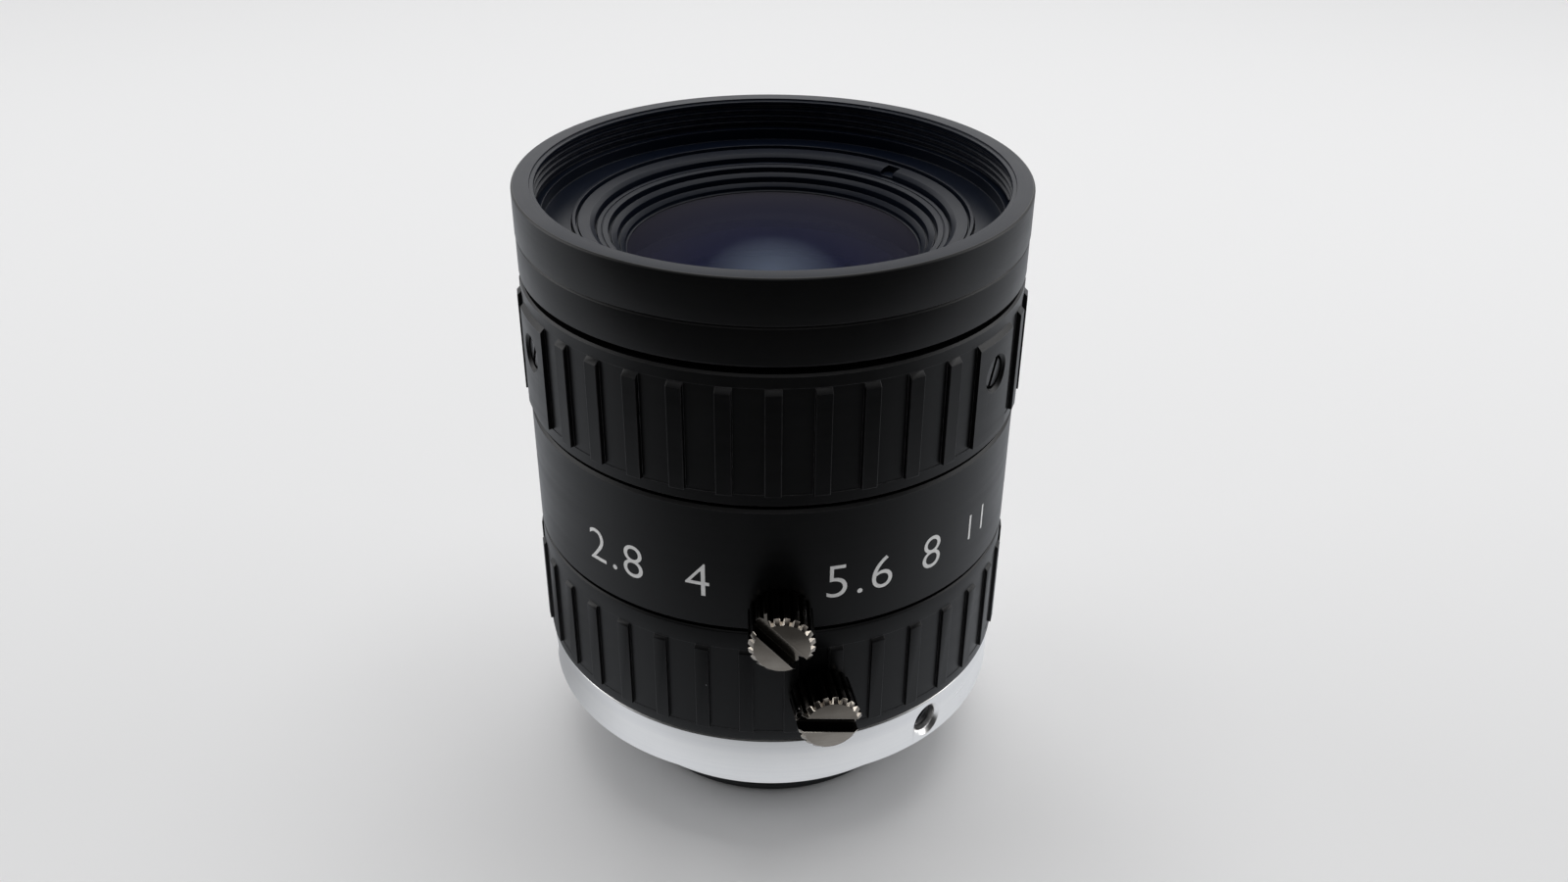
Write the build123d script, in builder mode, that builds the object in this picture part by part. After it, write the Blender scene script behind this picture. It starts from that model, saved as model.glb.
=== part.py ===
from build123d import *
from math import asin, cos, degrees, radians, sin, sqrt
import os

# The lens stands on its threaded spigot, with the front glass up.
# The origin is the centre of the mounting flange face, and +Z runs to the front.
# Angles around the axis are counted from the front, where the lock screws are,
# anticlockwise seen from above.

# Mount
thread_radius = 12.7
thread_length = 3.5
thread_chamfer = 0.3
thread_relief = 0.4
spigot_wall = 1.9
spigot_flange_height = 1.0
neck_width = 2.28
neck_height = 4.0
mount_web_height = 0.8
mount_ring_width = 2.2
mount_ring_height = 4.2
mount_edge_chamfer = 0.3
mount_screw_radius = 1.1
mount_screw_angles = (42.0, 162.0, 282.0)
mount_screw_recess = 0.6

# Heights of the outer rings and the gaps between them
iris_ring_height = 10.3
scale_band_height = 10.35
focus_ring_height = 10.2
front_ring_height = 6.3
iris_gap = 0.1
scale_gap = 0.25
focus_gap = 0.3
front_gap = 0.5

# Clearances
turning_clearance = 0.08
sliding_clearance = 0.1
seat_clearance = 0.05
screw_clearance = 0.05
face_clearance = 0.1
cell_clearance = 0.5
cell_flange_gap = 0.3
neck_clearance = 0.02

# Barrels
optics_wall = 1.0
helicoid_step = 0.7
lower_barrel_wall = 1.05
sleeve_wall = 1.05
upper_barrel_wall = 1.45
barrel_floor = 0.6
barrel_edge_chamfer = 0.2
sleeve_neck_wall = 0.72
sleeve_top_drop = 0.6
sleeve_ring_height = 1.5
sleeve_ring_width = 0.95

# Grip rings
focus_ring_wall = 1.85
focus_band_rise = 0.25
focus_rib_rise = 0.7
focus_band_height = 1.0
focus_rib_width = 1.0
focus_pad_count = 3
focus_pad_degrees = 14.4
focus_pad_spacing = 1.0
focus_first_rib_angle = 0.8
iris_ring_wall = 2.22
iris_band_rise = 0.22
iris_rib_rise = 0.45
iris_top_band_height = 1.6
iris_bottom_band_height = 1.0
iris_rib_width = 1.0
iris_first_rib_angle = 5.0
rib_count = 36
ring_edge_chamfer = 0.15

# Focus set screws
focus_screw_radius = 1.2
focus_screw_sink = 0.25
focus_screw_drop = 3.0
focus_screw_recess = 0.3
focus_screw_slot_angle = 65.0
slot_width = 0.45
slot_depth = 0.6
slot_cut_reach = 3.0

# Front ring
filter_thread_depth = 2.4
filter_ledge_width = 0.38
rim_width = 1.5
rim_inner_chamfer = 0.27
rim_outer_chamfer = 0.13
front_step = 0.18
front_setback = 0.05
front_lower_height = 3.0
front_floor_height = 3.0
front_floor_thickness = 0.6

# Stepped ring that holds the front glass
baffle_wall = 1.2
baffle_flange = 0.12
baffle_flange_clearance = 0.13
baffle_proud = 0.3
baffle_rim_width = 1.02
baffle_first_tread = 0.75
baffle_step_drops = (0.55, 0.35, 0.4, 0.6)
baffle_lip = 1.25
baffle_lip_rise = 0.15
baffle_seat_drop = 3.45
notch_width = 1.2
notch_depth = 0.8
notch_angle = 137.0

# Lenses: the barrel walls around them, and for each lens its rim height and how far the
# vertex of its front and of its rear surface lies in front of that surface's rim
front_lens_wall = 3.65
middle_lens_wall = 5.75
front_lens_rim, front_lens_front, front_lens_rear = 2.93, 2.27, 0.8
second_lens_rim, second_lens_front, second_lens_rear = 3.0, 1.4, 1.1
third_lens_rim, third_lens_front = 2.2, 1.7
middle_cement = -1.0
fourth_lens_rim, fourth_lens_rear = 3.5, 1.7
fifth_lens_rim, fifth_lens_front = 2.35, -0.85
rear_cement = 0.7
sixth_lens_rim, sixth_lens_rear = 2.3, -1.0
seventh_lens_rim, seventh_lens_front, seventh_lens_rear = 2.5, 0.9, -0.6
front_lens_rise = 0.28

# Spacers between the lenses
front_spacer_height = 2.9
front_spacer_wall = 1.3
front_spacer_lip = 0.5
front_spacer_lip_height = 1.0
middle_spacer_height = 7.9
middle_spacer_wall = 1.2
rear_spacer_height = 2.7
rear_spacer_wall = 0.9

# Rear cell and its retaining ring
rear_cell_wall = 1.05
rear_cell_lip = 1.0
rear_cell_lip_height = 0.6
rear_cell_flange_height = 1.0
rear_cell_rise = 4.8
rear_cell_overhang = 0.9
rear_ring_height = 1.5
rear_ring_wall = 1.0

# Iris
iris_web_height = 1.5
iris_web_step = 0.3
base_plate_height = 0.85
base_plate_step = 0.4
blade_count = 5
blade_thickness = 0.15
blade_level_step = 0.2
blade_width = 4.2
blade_span_degrees = 122.0
blade_lead_degrees = 6.0
blade_ear_radius = 0.8
blade_ear_reach = 1.3
blade_pivot_inset = 1.8
blade_swing_degrees = 28.7
blade_crank = 2.2
blade_pin_radius = 0.4
blade_pin_length = 0.65
first_pivot_angle = 20.0
iris_turn_degrees = 60.0
cam_ring_height = 1.2
cam_ring_step = 1.1
cam_slot_depth = 0.9
cam_slot_clearance = 0.15
iris_retaining_height = 1.0
iris_retaining_width = 1.55

# Iris drive
drive_pin_radius = 0.7
drive_pin_drop = 0.9
drive_pin_angle = 180.0
drive_slot_clearance = 0.15
fork_thickness = 1.5
fork_width = 4.0
fork_clearance = 0.1
fork_offset = 0.4
fork_outer_clearance = 0.4
drive_pin_tip_inset = 0.2

# Focus travel and guide screws
focus_travel = 3.0
guide_screw_radius = 0.7
guide_screw_drop = 2.6
guide_screw_angles = (60.0, 300.0)
guide_groove_depth = 0.8
guide_groove_clearance = 0.1

# Lock screws
lock_head_radius = 2.35
lock_reach = 4.44
lock_shank_radius = 1.0
lock_teeth = 20
lock_tooth_depth = 0.33
lock_tooth_margin = 0.11
lock_gap_share = 1.25
lock_face_chamfer = 0.35
lock_back_chamfer = 0.2
lock_slot_width = 1.25
lock_slot_depth = 1.2
lock_head_standoff = 0.5
lock_tip_clearance = 0.08
focus_lock_rise = 1.7
focus_lock_angle = 2.4
focus_lock_slot_angle = -49.0
iris_lock_angle = 11.4
iris_lock_slot_angle = -10.0

# Heights of the outer rings
mount_top = neck_height + mount_ring_height
iris_bottom = mount_top + iris_gap
iris_top = iris_bottom + iris_ring_height
scale_bottom = iris_top + scale_gap
scale_top = scale_bottom + scale_band_height
focus_bottom = scale_top + focus_gap
focus_top = focus_bottom + focus_ring_height
front_bottom = focus_top + front_gap
front_top = front_bottom + front_ring_height

# Radii of the mount, and of the rear cell inside it
spigot_root_radius = thread_radius - thread_relief
spigot_bore_radius = thread_radius - spigot_wall
neck_bore_radius = thread_radius + neck_clearance
neck_radius = neck_bore_radius + neck_width
rear_cell_radius = spigot_bore_radius - cell_clearance
rear_lens_bore = rear_cell_radius - rear_cell_wall
rear_lens_radius = rear_lens_bore - seat_clearance

# Radii of the iris, around the rear cell
fork_inner_radius = rear_cell_radius + fork_offset
fork_outer_radius = fork_inner_radius + fork_thickness
fork_middle_radius = (fork_inner_radius + fork_outer_radius) / 2
iris_retaining_bore_radius = fork_outer_radius + fork_outer_clearance
chamber_part_radius = iris_retaining_bore_radius + iris_retaining_width
chamber_radius = chamber_part_radius + seat_clearance
blade_pivot_radius = chamber_radius - blade_pivot_inset
blade_outer_radius = blade_pivot_radius - blade_ear_reach
blade_inner_radius = blade_outer_radius - blade_width

# Radii from the sliding optics barrel outwards
optics_radius = chamber_radius + optics_wall
helicoid_radius = optics_radius + helicoid_step
lower_bore_radius = optics_radius + sliding_clearance
lower_barrel_radius = lower_bore_radius + lower_barrel_wall
mount_counterbore_radius = lower_barrel_radius + seat_clearance
mount_ring_radius = mount_counterbore_radius + mount_ring_width
iris_bore_radius = lower_barrel_radius + turning_clearance
iris_base_radius = iris_bore_radius + iris_ring_wall
iris_rib_radius = iris_base_radius + iris_rib_rise
iris_band_radius = iris_base_radius + iris_band_rise
sleeve_bore_radius = helicoid_radius + turning_clearance
sleeve_radius = sleeve_bore_radius + sleeve_wall
sleeve_neck_radius = sleeve_bore_radius + sleeve_neck_wall
sleeve_ring_bore_radius = sleeve_neck_radius + turning_clearance
sleeve_ring_radius = sleeve_ring_bore_radius + sleeve_ring_width
upper_bore_radius = sleeve_radius + turning_clearance
barrel_radius = upper_bore_radius + upper_barrel_wall
focus_bore_radius = sleeve_neck_radius + seat_clearance
focus_base_radius = focus_bore_radius + focus_ring_wall
focus_rib_radius = focus_base_radius + focus_rib_rise
focus_band_radius = focus_base_radius + focus_band_rise
lock_face_distance = barrel_radius + lock_reach

# Radii of the front ring, whose thread comes to the size of a common filter thread
front_lower_radius = focus_band_radius - front_setback
front_radius = front_lower_radius + front_step
filter_thread_radius = front_radius - rim_width
filter_relief_radius = filter_thread_radius - filter_ledge_width

# Radii of the front glass and the stepped ring, inside the optics barrel
baffle_bore_radius = helicoid_radius - baffle_wall + seat_clearance
baffle_thread_radius = baffle_bore_radius - seat_clearance
baffle_radius = baffle_thread_radius + baffle_flange
baffle_first_step_radius = baffle_radius - baffle_rim_width
front_floor_radius = baffle_radius + baffle_flange_clearance
front_lens_bore = helicoid_radius - front_lens_wall
front_lens_radius = front_lens_bore - seat_clearance
middle_lens_bore = helicoid_radius - middle_lens_wall
middle_lens_radius = middle_lens_bore - seat_clearance

# Heights at the mount and the main barrel
spigot_seat = neck_height + mount_web_height
spigot_top = spigot_seat + spigot_flange_height
barrel_bottom = spigot_top + seat_clearance
sleeve_bottom = scale_bottom + barrel_floor + seat_clearance
sleeve_top = focus_top - sleeve_top_drop
sleeve_ring_seat = scale_top - sleeve_ring_height
sleeve_shoulder = sleeve_ring_seat - face_clearance
guide_screw_height = iris_top - guide_screw_drop
focus_lock_height = scale_bottom + focus_lock_rise

# Heights at the front, and of the front group from the baffle's seat down
front_floor = front_bottom + front_floor_height
filter_ledge = front_top - filter_thread_depth
baffle_top = front_floor + baffle_proud
baffle_seat = baffle_top - baffle_seat_drop
optics_top = front_floor - front_floor_thickness - seat_clearance
front_lens_top = baffle_seat + front_lens_rise
second_lens_top = front_lens_top - front_lens_rim - front_spacer_height
third_lens_top = second_lens_top - second_lens_rim - middle_spacer_height
fourth_lens_top = third_lens_top - third_lens_rim
middle_lens_seat = fourth_lens_top - fourth_lens_rim - seat_clearance

# Heights of the iris, from the web under the front group down
chamber_top = middle_lens_seat - iris_web_height
plate_bottom = chamber_top - base_plate_height
blade_top = plate_bottom - seat_clearance
blade_bottom = blade_top - blade_count * blade_level_step
cam_top = blade_bottom - seat_clearance
cam_bottom = cam_top - cam_ring_height
iris_retaining_top = cam_bottom - face_clearance
iris_retaining_bottom = iris_retaining_top - iris_retaining_height
drive_pin_height = iris_retaining_bottom - drive_pin_drop

# Heights of the rear group, from the rear cell's flange
cell_flange_bottom = barrel_bottom + cell_flange_gap
cell_flange_top = cell_flange_bottom + rear_cell_flange_height
rear_cell_top = cell_flange_top + rear_cell_rise
rear_cell_lip_bottom = rear_cell_top - rear_cell_lip_height
fifth_lens_top = rear_cell_lip_bottom - seat_clearance
sixth_lens_top = fifth_lens_top - fifth_lens_rim
seventh_lens_top = sixth_lens_top - sixth_lens_rim - rear_spacer_height
rear_ring_top = seventh_lens_top - seventh_lens_rim
rear_ring_bottom = rear_ring_top - rear_ring_height
rear_cell_bottom = rear_ring_bottom - rear_cell_overhang


def around(angle):
    """A place turned about the axis, counted from the front."""
    return Location((0, 0, 0), (0, 0, angle - 90))


def outward_plane(angle, radius, height, spin=0.0):
    """A plane that faces out from the axis, with its x turned by spin."""
    turn = radians(angle)
    out = Vector(sin(turn), -cos(turn), 0)
    side = Vector(cos(turn), sin(turn), 0)
    tilt = radians(spin)
    across = side * cos(tilt) + Vector(0, 0, 1) * sin(tilt)
    return Plane(origin=out * radius + Vector(0, 0, height), x_dir=across, z_dir=out)


def section(*points):
    """A closed outline of (radius, height) points, ready to be revolved."""
    with BuildSketch(Plane.XZ) as outline:
        with BuildLine():
            Polyline(*points, close=True)
        make_face()
    return outline.sketch


def tube_section(inner, outer, bottom, top):
    """The outline of a plain tube."""
    return section((inner, bottom), (outer, bottom), (outer, top), (inner, top))


def dome_drop(rim_radius, rise, radius):
    """How far a lens surface falls from its vertex to the given radius."""
    curve = (rim_radius**2 + rise**2) / (2 * abs(rise))
    drop = curve - sqrt(curve**2 - radius**2)
    return drop if rise > 0 else -drop


def lens_section(rim_radius, rim_top, rim_height, front_rise, rear_rise):
    """The outline of a lens, with a round front and rear surface and a straight rim."""
    rim_bottom = rim_top - rim_height
    front = rim_top + front_rise
    rear = rim_bottom + rear_rise
    halfway = rim_radius / 2
    front_halfway = front - dome_drop(rim_radius, front_rise, halfway)
    rear_halfway = rear - dome_drop(rim_radius, rear_rise, halfway)
    with BuildSketch(Plane.XZ) as outline:
        with BuildLine():
            Line((0, rear), (0, front))
            ThreePointArc((0, front), (halfway, front_halfway), (rim_radius, rim_top))
            Line((rim_radius, rim_top), (rim_radius, rim_bottom))
            ThreePointArc((rim_radius, rim_bottom), (halfway, rear_halfway), (0, rear))
        make_face()
    return outline.sketch


# Mount ring: bright aluminium, a wide band over a neck that ends in the flange face
mount_screw_height = neck_height + mount_ring_height / 2
with BuildPart() as mount_ring:
    revolve(
        section(
            (neck_bore_radius, 0),
            (neck_radius, 0),
            (neck_radius, neck_height),
            (mount_ring_radius - mount_edge_chamfer, neck_height),
            (mount_ring_radius, neck_height + mount_edge_chamfer),
            (mount_ring_radius, mount_top - mount_edge_chamfer / 2),
            (mount_ring_radius - mount_edge_chamfer / 2, mount_top),
            (mount_counterbore_radius, mount_top),
            (mount_counterbore_radius, spigot_seat),
            (neck_bore_radius, spigot_seat),
        ),
        axis=Axis.Z,
    )
    for angle in mount_screw_angles:
        with Locations(outward_plane(angle, mount_ring_radius, mount_screw_height).location):
            CounterSinkHole(
                radius=mount_screw_radius + screw_clearance,
                counter_sink_radius=mount_screw_radius + mount_edge_chamfer,
                depth=mount_ring_width + 2 * seat_clearance,
            )

# Mount set screws: three slotted grub screws that clamp the ring on the barrel
mount_screw_outer = mount_ring_radius - mount_screw_recess
with BuildPart() as mount_set_screws:
    for angle in mount_screw_angles:
        with BuildSketch(outward_plane(angle, mount_screw_outer, mount_screw_height)):
            Circle(mount_screw_radius)
        extrude(amount=mount_counterbore_radius - mount_screw_outer)
        with BuildSketch(outward_plane(angle, mount_screw_outer, mount_screw_height, angle)):
            Rectangle(slot_cut_reach * mount_screw_radius, slot_width)
        extrude(amount=-slot_depth, mode=Mode.SUBTRACT)

# Rear spigot: the male mount thread, with a flange held between ring and barrel
with BuildPart() as rear_spigot:
    revolve(
        section(
            (spigot_bore_radius, -thread_length),
            (thread_radius - thread_chamfer, -thread_length),
            (thread_radius, thread_chamfer - thread_length),
            (thread_radius, 0),
            (spigot_root_radius, 0),
            (spigot_root_radius, spigot_seat),
            (lower_barrel_radius, spigot_seat),
            (lower_barrel_radius, spigot_top),
            (spigot_bore_radius, spigot_top),
        ),
        axis=Axis.Z,
    )

# Window that the iris drive pin sweeps through, in the barrels
window_half_height = drive_pin_radius + drive_slot_clearance
window_margin = degrees(asin(window_half_height / chamber_radius))
window_start = drive_pin_angle - window_margin
window_sweep = iris_turn_degrees + 2 * window_margin

# Main barrel: the fixed body, with the smooth number band above the iris ring
with BuildPart() as main_barrel:
    revolve(
        section(
            (lower_bore_radius, barrel_bottom),
            (lower_barrel_radius, barrel_bottom),
            (lower_barrel_radius, scale_bottom),
            (barrel_radius - barrel_edge_chamfer, scale_bottom),
            (barrel_radius, scale_bottom + barrel_edge_chamfer),
            (barrel_radius, scale_top - barrel_edge_chamfer),
            (barrel_radius - barrel_edge_chamfer, scale_top),
            (sleeve_ring_radius + seat_clearance, scale_top),
            (sleeve_ring_radius + seat_clearance, sleeve_ring_seat),
            (upper_bore_radius, sleeve_ring_seat),
            (upper_bore_radius, scale_bottom + barrel_floor),
            (lower_bore_radius, scale_bottom + barrel_floor),
        ),
        axis=Axis.Z,
    )
    with Locations(around(window_start)):
        add(
            revolve(
                tube_section(
                    lower_bore_radius - lower_barrel_wall,
                    lower_barrel_radius + lower_barrel_wall,
                    drive_pin_height - window_half_height,
                    drive_pin_height + window_half_height,
                ),
                axis=Axis.Z,
                revolution_arc=window_sweep,
                mode=Mode.PRIVATE,
            ),
            mode=Mode.SUBTRACT,
        )
    for angle in guide_screw_angles:
        with BuildSketch(outward_plane(angle, barrel_radius, guide_screw_height)):
            Circle(guide_screw_radius + screw_clearance)
        extrude(amount=optics_radius - barrel_radius - lower_barrel_wall, mode=Mode.SUBTRACT)
    with BuildSketch(outward_plane(focus_lock_angle, lock_face_distance, focus_lock_height)):
        Circle(lock_shank_radius + screw_clearance)
    extrude(amount=lower_bore_radius - lock_face_distance, mode=Mode.SUBTRACT)

# Guide screws: two headless screws whose tips run in grooves of the optics barrel
guide_tip_radius = optics_radius - guide_groove_depth + face_clearance
with BuildPart() as guide_screws:
    for angle in guide_screw_angles:
        with BuildSketch(outward_plane(angle, guide_tip_radius, guide_screw_height)):
            Circle(guide_screw_radius)
        extrude(amount=lower_barrel_radius - face_clearance - guide_tip_radius)

# Sleeve retaining ring: screwed into the top of the main barrel
with BuildPart() as sleeve_retaining_ring:
    revolve(
        tube_section(
            sleeve_ring_bore_radius,
            sleeve_ring_radius,
            sleeve_ring_seat,
            scale_top - face_clearance,
        ),
        axis=Axis.Z,
    )

# Focus sleeve: turns in the main barrel, and its inside thread drives the optics
with BuildPart() as focus_sleeve:
    revolve(
        section(
            (sleeve_bore_radius, sleeve_bottom),
            (sleeve_radius, sleeve_bottom),
            (sleeve_radius, sleeve_shoulder),
            (sleeve_neck_radius, sleeve_shoulder),
            (sleeve_neck_radius, sleeve_top),
            (sleeve_bore_radius, sleeve_top),
        ),
        axis=Axis.Z,
    )

# Ribs of the focus ring, one pitch apart, and its three wide pads, each halfway between
# two of the places and far enough from the ribs beside it
rib_pitch = 360 / rib_count
pad_pitch = rib_count // focus_pad_count
pad_place = (pad_pitch - 1) / 2
focus_pad_angles = [
    focus_first_rib_angle + rib_pitch * (pad_place + pad_pitch * turn)
    for turn in range(focus_pad_count)
]
focus_rib_angles = [
    focus_first_rib_angle + rib_pitch * place
    for place in range(rib_count)
    if abs(place % pad_pitch - pad_place) > focus_pad_spacing
]
focus_rib_bottom = focus_bottom + focus_band_height
focus_rib_top = focus_top - focus_band_height
focus_rib_outline = section(
    (focus_base_radius - focus_rib_rise, focus_rib_bottom),
    (focus_rib_radius, focus_rib_bottom),
    (focus_rib_radius, focus_rib_top - focus_rib_radius + focus_band_radius),
    (focus_band_radius, focus_rib_top),
    (focus_base_radius - focus_rib_rise, focus_rib_top),
)
with BuildPart() as focus_rib:
    extrude(focus_rib_outline, amount=focus_rib_width / 2, both=True)
with BuildPart() as focus_pad:
    revolve(focus_rib_outline, axis=Axis.Z, revolution_arc=focus_pad_degrees)

# Focus ring: ribs and pads that stand above two plain edge bands
focus_screw_height = focus_rib_top - focus_screw_drop
with BuildPart() as focus_ring:
    revolve(
        section(
            (focus_bore_radius, focus_bottom),
            (focus_band_radius - ring_edge_chamfer, focus_bottom),
            (focus_band_radius, focus_bottom + ring_edge_chamfer),
            (focus_band_radius, focus_rib_bottom),
            (focus_base_radius, focus_rib_bottom),
            (focus_base_radius, focus_rib_top),
            (focus_band_radius, focus_rib_top),
            (focus_band_radius, focus_top - ring_edge_chamfer),
            (focus_band_radius - ring_edge_chamfer, focus_top),
            (focus_bore_radius, focus_top),
        ),
        axis=Axis.Z,
    )
    with Locations([around(angle) for angle in focus_rib_angles]):
        add(focus_rib.part)
    with Locations([around(angle - focus_pad_degrees / 2) for angle in focus_pad_angles]):
        add(focus_pad.part)
    for angle in focus_pad_angles:
        with Locations(outward_plane(angle, focus_rib_radius, focus_screw_height).location):
            CounterSinkHole(
                radius=focus_screw_radius + screw_clearance,
                counter_sink_radius=focus_screw_radius + screw_clearance + focus_screw_sink,
                depth=focus_rib_radius - sleeve_bore_radius,
            )

# Focus set screws: slotted grub screws that clamp the ring on the sleeve
focus_screw_outer = focus_rib_radius - focus_screw_recess
with BuildPart() as focus_set_screws:
    for angle in focus_pad_angles:
        with BuildSketch(outward_plane(angle, focus_screw_outer, focus_screw_height)):
            Circle(focus_screw_radius)
        extrude(amount=focus_bore_radius - focus_screw_outer)
        slot_plane = outward_plane(angle, focus_screw_outer, focus_screw_height, focus_screw_slot_angle)
        with BuildSketch(slot_plane):
            Rectangle(slot_cut_reach * focus_screw_radius, slot_width)
        extrude(amount=-slot_depth, mode=Mode.SUBTRACT)

# Front ring: filter thread in its mouth, a step around its outside
with BuildPart() as front_ring:
    revolve(
        section(
            (helicoid_radius + seat_clearance, front_bottom),
            (front_lower_radius - ring_edge_chamfer, front_bottom),
            (front_lower_radius, front_bottom + ring_edge_chamfer),
            (front_lower_radius, front_bottom + front_lower_height),
            (front_radius, front_bottom + front_lower_height),
            (front_radius, front_top - rim_outer_chamfer),
            (front_radius - rim_outer_chamfer, front_top),
            (filter_thread_radius + rim_inner_chamfer, front_top),
            (filter_thread_radius, front_top - rim_inner_chamfer),
            (filter_thread_radius, filter_ledge),
            (filter_relief_radius, filter_ledge),
            (filter_relief_radius, front_floor),
            (front_floor_radius, front_floor),
            (front_floor_radius, front_floor - front_floor_thickness),
            (helicoid_radius + seat_clearance, front_floor - front_floor_thickness),
        ),
        axis=Axis.Z,
    )

# Optics barrel: slides in the main barrel, carries every lens and the iris
groove_half_width = guide_screw_radius + guide_groove_clearance
groove_middle = guide_screw_height - focus_travel / 2
with BuildPart() as optics_barrel:
    revolve(
        section(
            (chamber_radius, cell_flange_bottom),
            (optics_radius, cell_flange_bottom),
            (optics_radius, sleeve_bottom),
            (helicoid_radius, sleeve_bottom),
            (helicoid_radius, optics_top),
            (baffle_bore_radius, optics_top),
            (baffle_bore_radius, baffle_seat),
            (front_lens_bore, baffle_seat),
            (front_lens_bore, second_lens_top),
            (middle_lens_bore, second_lens_top),
            (middle_lens_bore, middle_lens_seat),
            (blade_inner_radius + iris_web_step, middle_lens_seat),
            (blade_inner_radius + iris_web_step, chamber_top),
            (chamber_radius, chamber_top),
        ),
        axis=Axis.Z,
    )
    # the drive pin's window is taller here, by the focus travel
    with Locations(around(window_start)):
        add(
            revolve(
                tube_section(
                    chamber_radius - optics_wall,
                    optics_radius + optics_wall,
                    drive_pin_height - window_half_height - focus_travel,
                    drive_pin_height + window_half_height,
                ),
                axis=Axis.Z,
                revolution_arc=window_sweep,
                mode=Mode.PRIVATE,
            ),
            mode=Mode.SUBTRACT,
        )
    # grooves that run past the guide screws over the focus travel
    for angle in guide_screw_angles:
        with BuildSketch(outward_plane(angle, optics_radius + guide_groove_depth, groove_middle)):
            SlotCenterToCenter(focus_travel, 2 * groove_half_width, rotation=90)
        extrude(amount=-2 * guide_groove_depth, mode=Mode.SUBTRACT)

# Front retaining ring: stepped baffle around the glass, two spanner notches
baffle_mouth_radius = front_lens_radius - baffle_lip
front_vertex = front_lens_top + front_lens_front
mouth_drop = dome_drop(front_lens_radius, front_lens_front, baffle_mouth_radius)
mouth_bottom = front_vertex - mouth_drop + seat_clearance
baffle_second_step_radius = baffle_first_step_radius - baffle_first_tread
tread_width = (baffle_second_step_radius - baffle_mouth_radius) / len(baffle_step_drops)
baffle_points = []
step_height = baffle_top
for place, step_drop in enumerate(baffle_step_drops):
    step_radius = baffle_second_step_radius - (place - 1) * tread_width
    if place == 0:
        step_radius = baffle_first_step_radius
    baffle_points.append((step_radius, step_height))
    step_height -= step_drop
    baffle_points.append((step_radius, step_height))
baffle_points.append((baffle_mouth_radius + tread_width, step_height))
with BuildPart() as front_retaining_ring:
    revolve(
        section(
            (front_lens_bore, baffle_seat),
            (baffle_thread_radius, baffle_seat),
            (baffle_thread_radius, front_floor),
            (baffle_radius, front_floor),
            (baffle_radius, baffle_top),
            *baffle_points,
            (baffle_mouth_radius, mouth_bottom + baffle_lip_rise),
            (baffle_mouth_radius, mouth_bottom),
            (front_lens_bore, front_lens_top + seat_clearance),
        ),
        axis=Axis.Z,
    )
    for angle in (notch_angle, notch_angle + 180):
        with BuildSketch(Plane.XY.offset(baffle_top)):
            with Locations(around(angle)):
                with Locations((baffle_second_step_radius, 0)):
                    Rectangle(2 * notch_width, notch_width)
        extrude(amount=-notch_depth, mode=Mode.SUBTRACT)

# Outlines of the lenses, from the front to the rear
front_lens_outline = lens_section(
    front_lens_radius, front_lens_top, front_lens_rim, front_lens_front, front_lens_rear
)
second_lens_outline = lens_section(
    middle_lens_radius, second_lens_top, second_lens_rim, second_lens_front, second_lens_rear
)
third_lens_outline = lens_section(
    middle_lens_radius, third_lens_top, third_lens_rim, third_lens_front, middle_cement
)
fourth_lens_outline = lens_section(
    middle_lens_radius, fourth_lens_top, fourth_lens_rim, middle_cement, fourth_lens_rear
)
fifth_lens_outline = lens_section(
    rear_lens_radius, fifth_lens_top, fifth_lens_rim, fifth_lens_front, rear_cement
)
sixth_lens_outline = lens_section(
    rear_lens_radius, sixth_lens_top, sixth_lens_rim, rear_cement, sixth_lens_rear
)
seventh_lens_outline = lens_section(
    rear_lens_radius, seventh_lens_top, seventh_lens_rim, seventh_lens_front, seventh_lens_rear
)

# Lenses
with BuildPart() as front_lens:
    revolve(front_lens_outline, axis=Axis.Z)
with BuildPart() as second_lens:
    revolve(second_lens_outline, axis=Axis.Z)
with BuildPart() as third_lens:
    revolve(third_lens_outline, axis=Axis.Z)
with BuildPart() as fourth_lens:
    revolve(fourth_lens_outline, axis=Axis.Z)
with BuildPart() as fifth_lens:
    revolve(fifth_lens_outline, axis=Axis.Z)
with BuildPart() as sixth_lens:
    revolve(sixth_lens_outline, axis=Axis.Z)
with BuildPart() as seventh_lens:
    revolve(seventh_lens_outline, axis=Axis.Z)

# Spacers: tubes whose ends follow the glass that they touch
front_spacer_bottom = second_lens_top + seat_clearance
front_spacer_lip_top = front_spacer_bottom + front_spacer_lip_height
with BuildPart() as front_spacer:
    revolve(
        section(
            (middle_lens_radius - front_spacer_lip, front_spacer_bottom),
            (front_lens_radius, front_spacer_bottom),
            (front_lens_radius, front_lens_top - front_lens_rim),
            (front_lens_radius - front_spacer_wall, front_lens_top - front_lens_rim),
            (front_lens_radius - front_spacer_wall, front_spacer_lip_top),
            (middle_lens_radius - front_spacer_lip, front_spacer_lip_top),
        ),
        axis=Axis.Z,
    )
    revolve(second_lens_outline, axis=Axis.Z, mode=Mode.SUBTRACT)
with BuildPart() as middle_spacer:
    revolve(
        tube_section(
            middle_lens_radius - middle_spacer_wall,
            middle_lens_radius,
            third_lens_top,
            second_lens_top - second_lens_rim,
        ),
        axis=Axis.Z,
    )
    revolve(third_lens_outline, axis=Axis.Z, mode=Mode.SUBTRACT)
with BuildPart() as rear_spacer:
    revolve(
        tube_section(
            rear_lens_radius - rear_spacer_wall,
            rear_lens_radius,
            seventh_lens_top,
            sixth_lens_top - sixth_lens_rim,
        ),
        axis=Axis.Z,
    )
    revolve(sixth_lens_outline, axis=Axis.Z, mode=Mode.SUBTRACT)
    revolve(seventh_lens_outline, axis=Axis.Z, mode=Mode.SUBTRACT)

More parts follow.
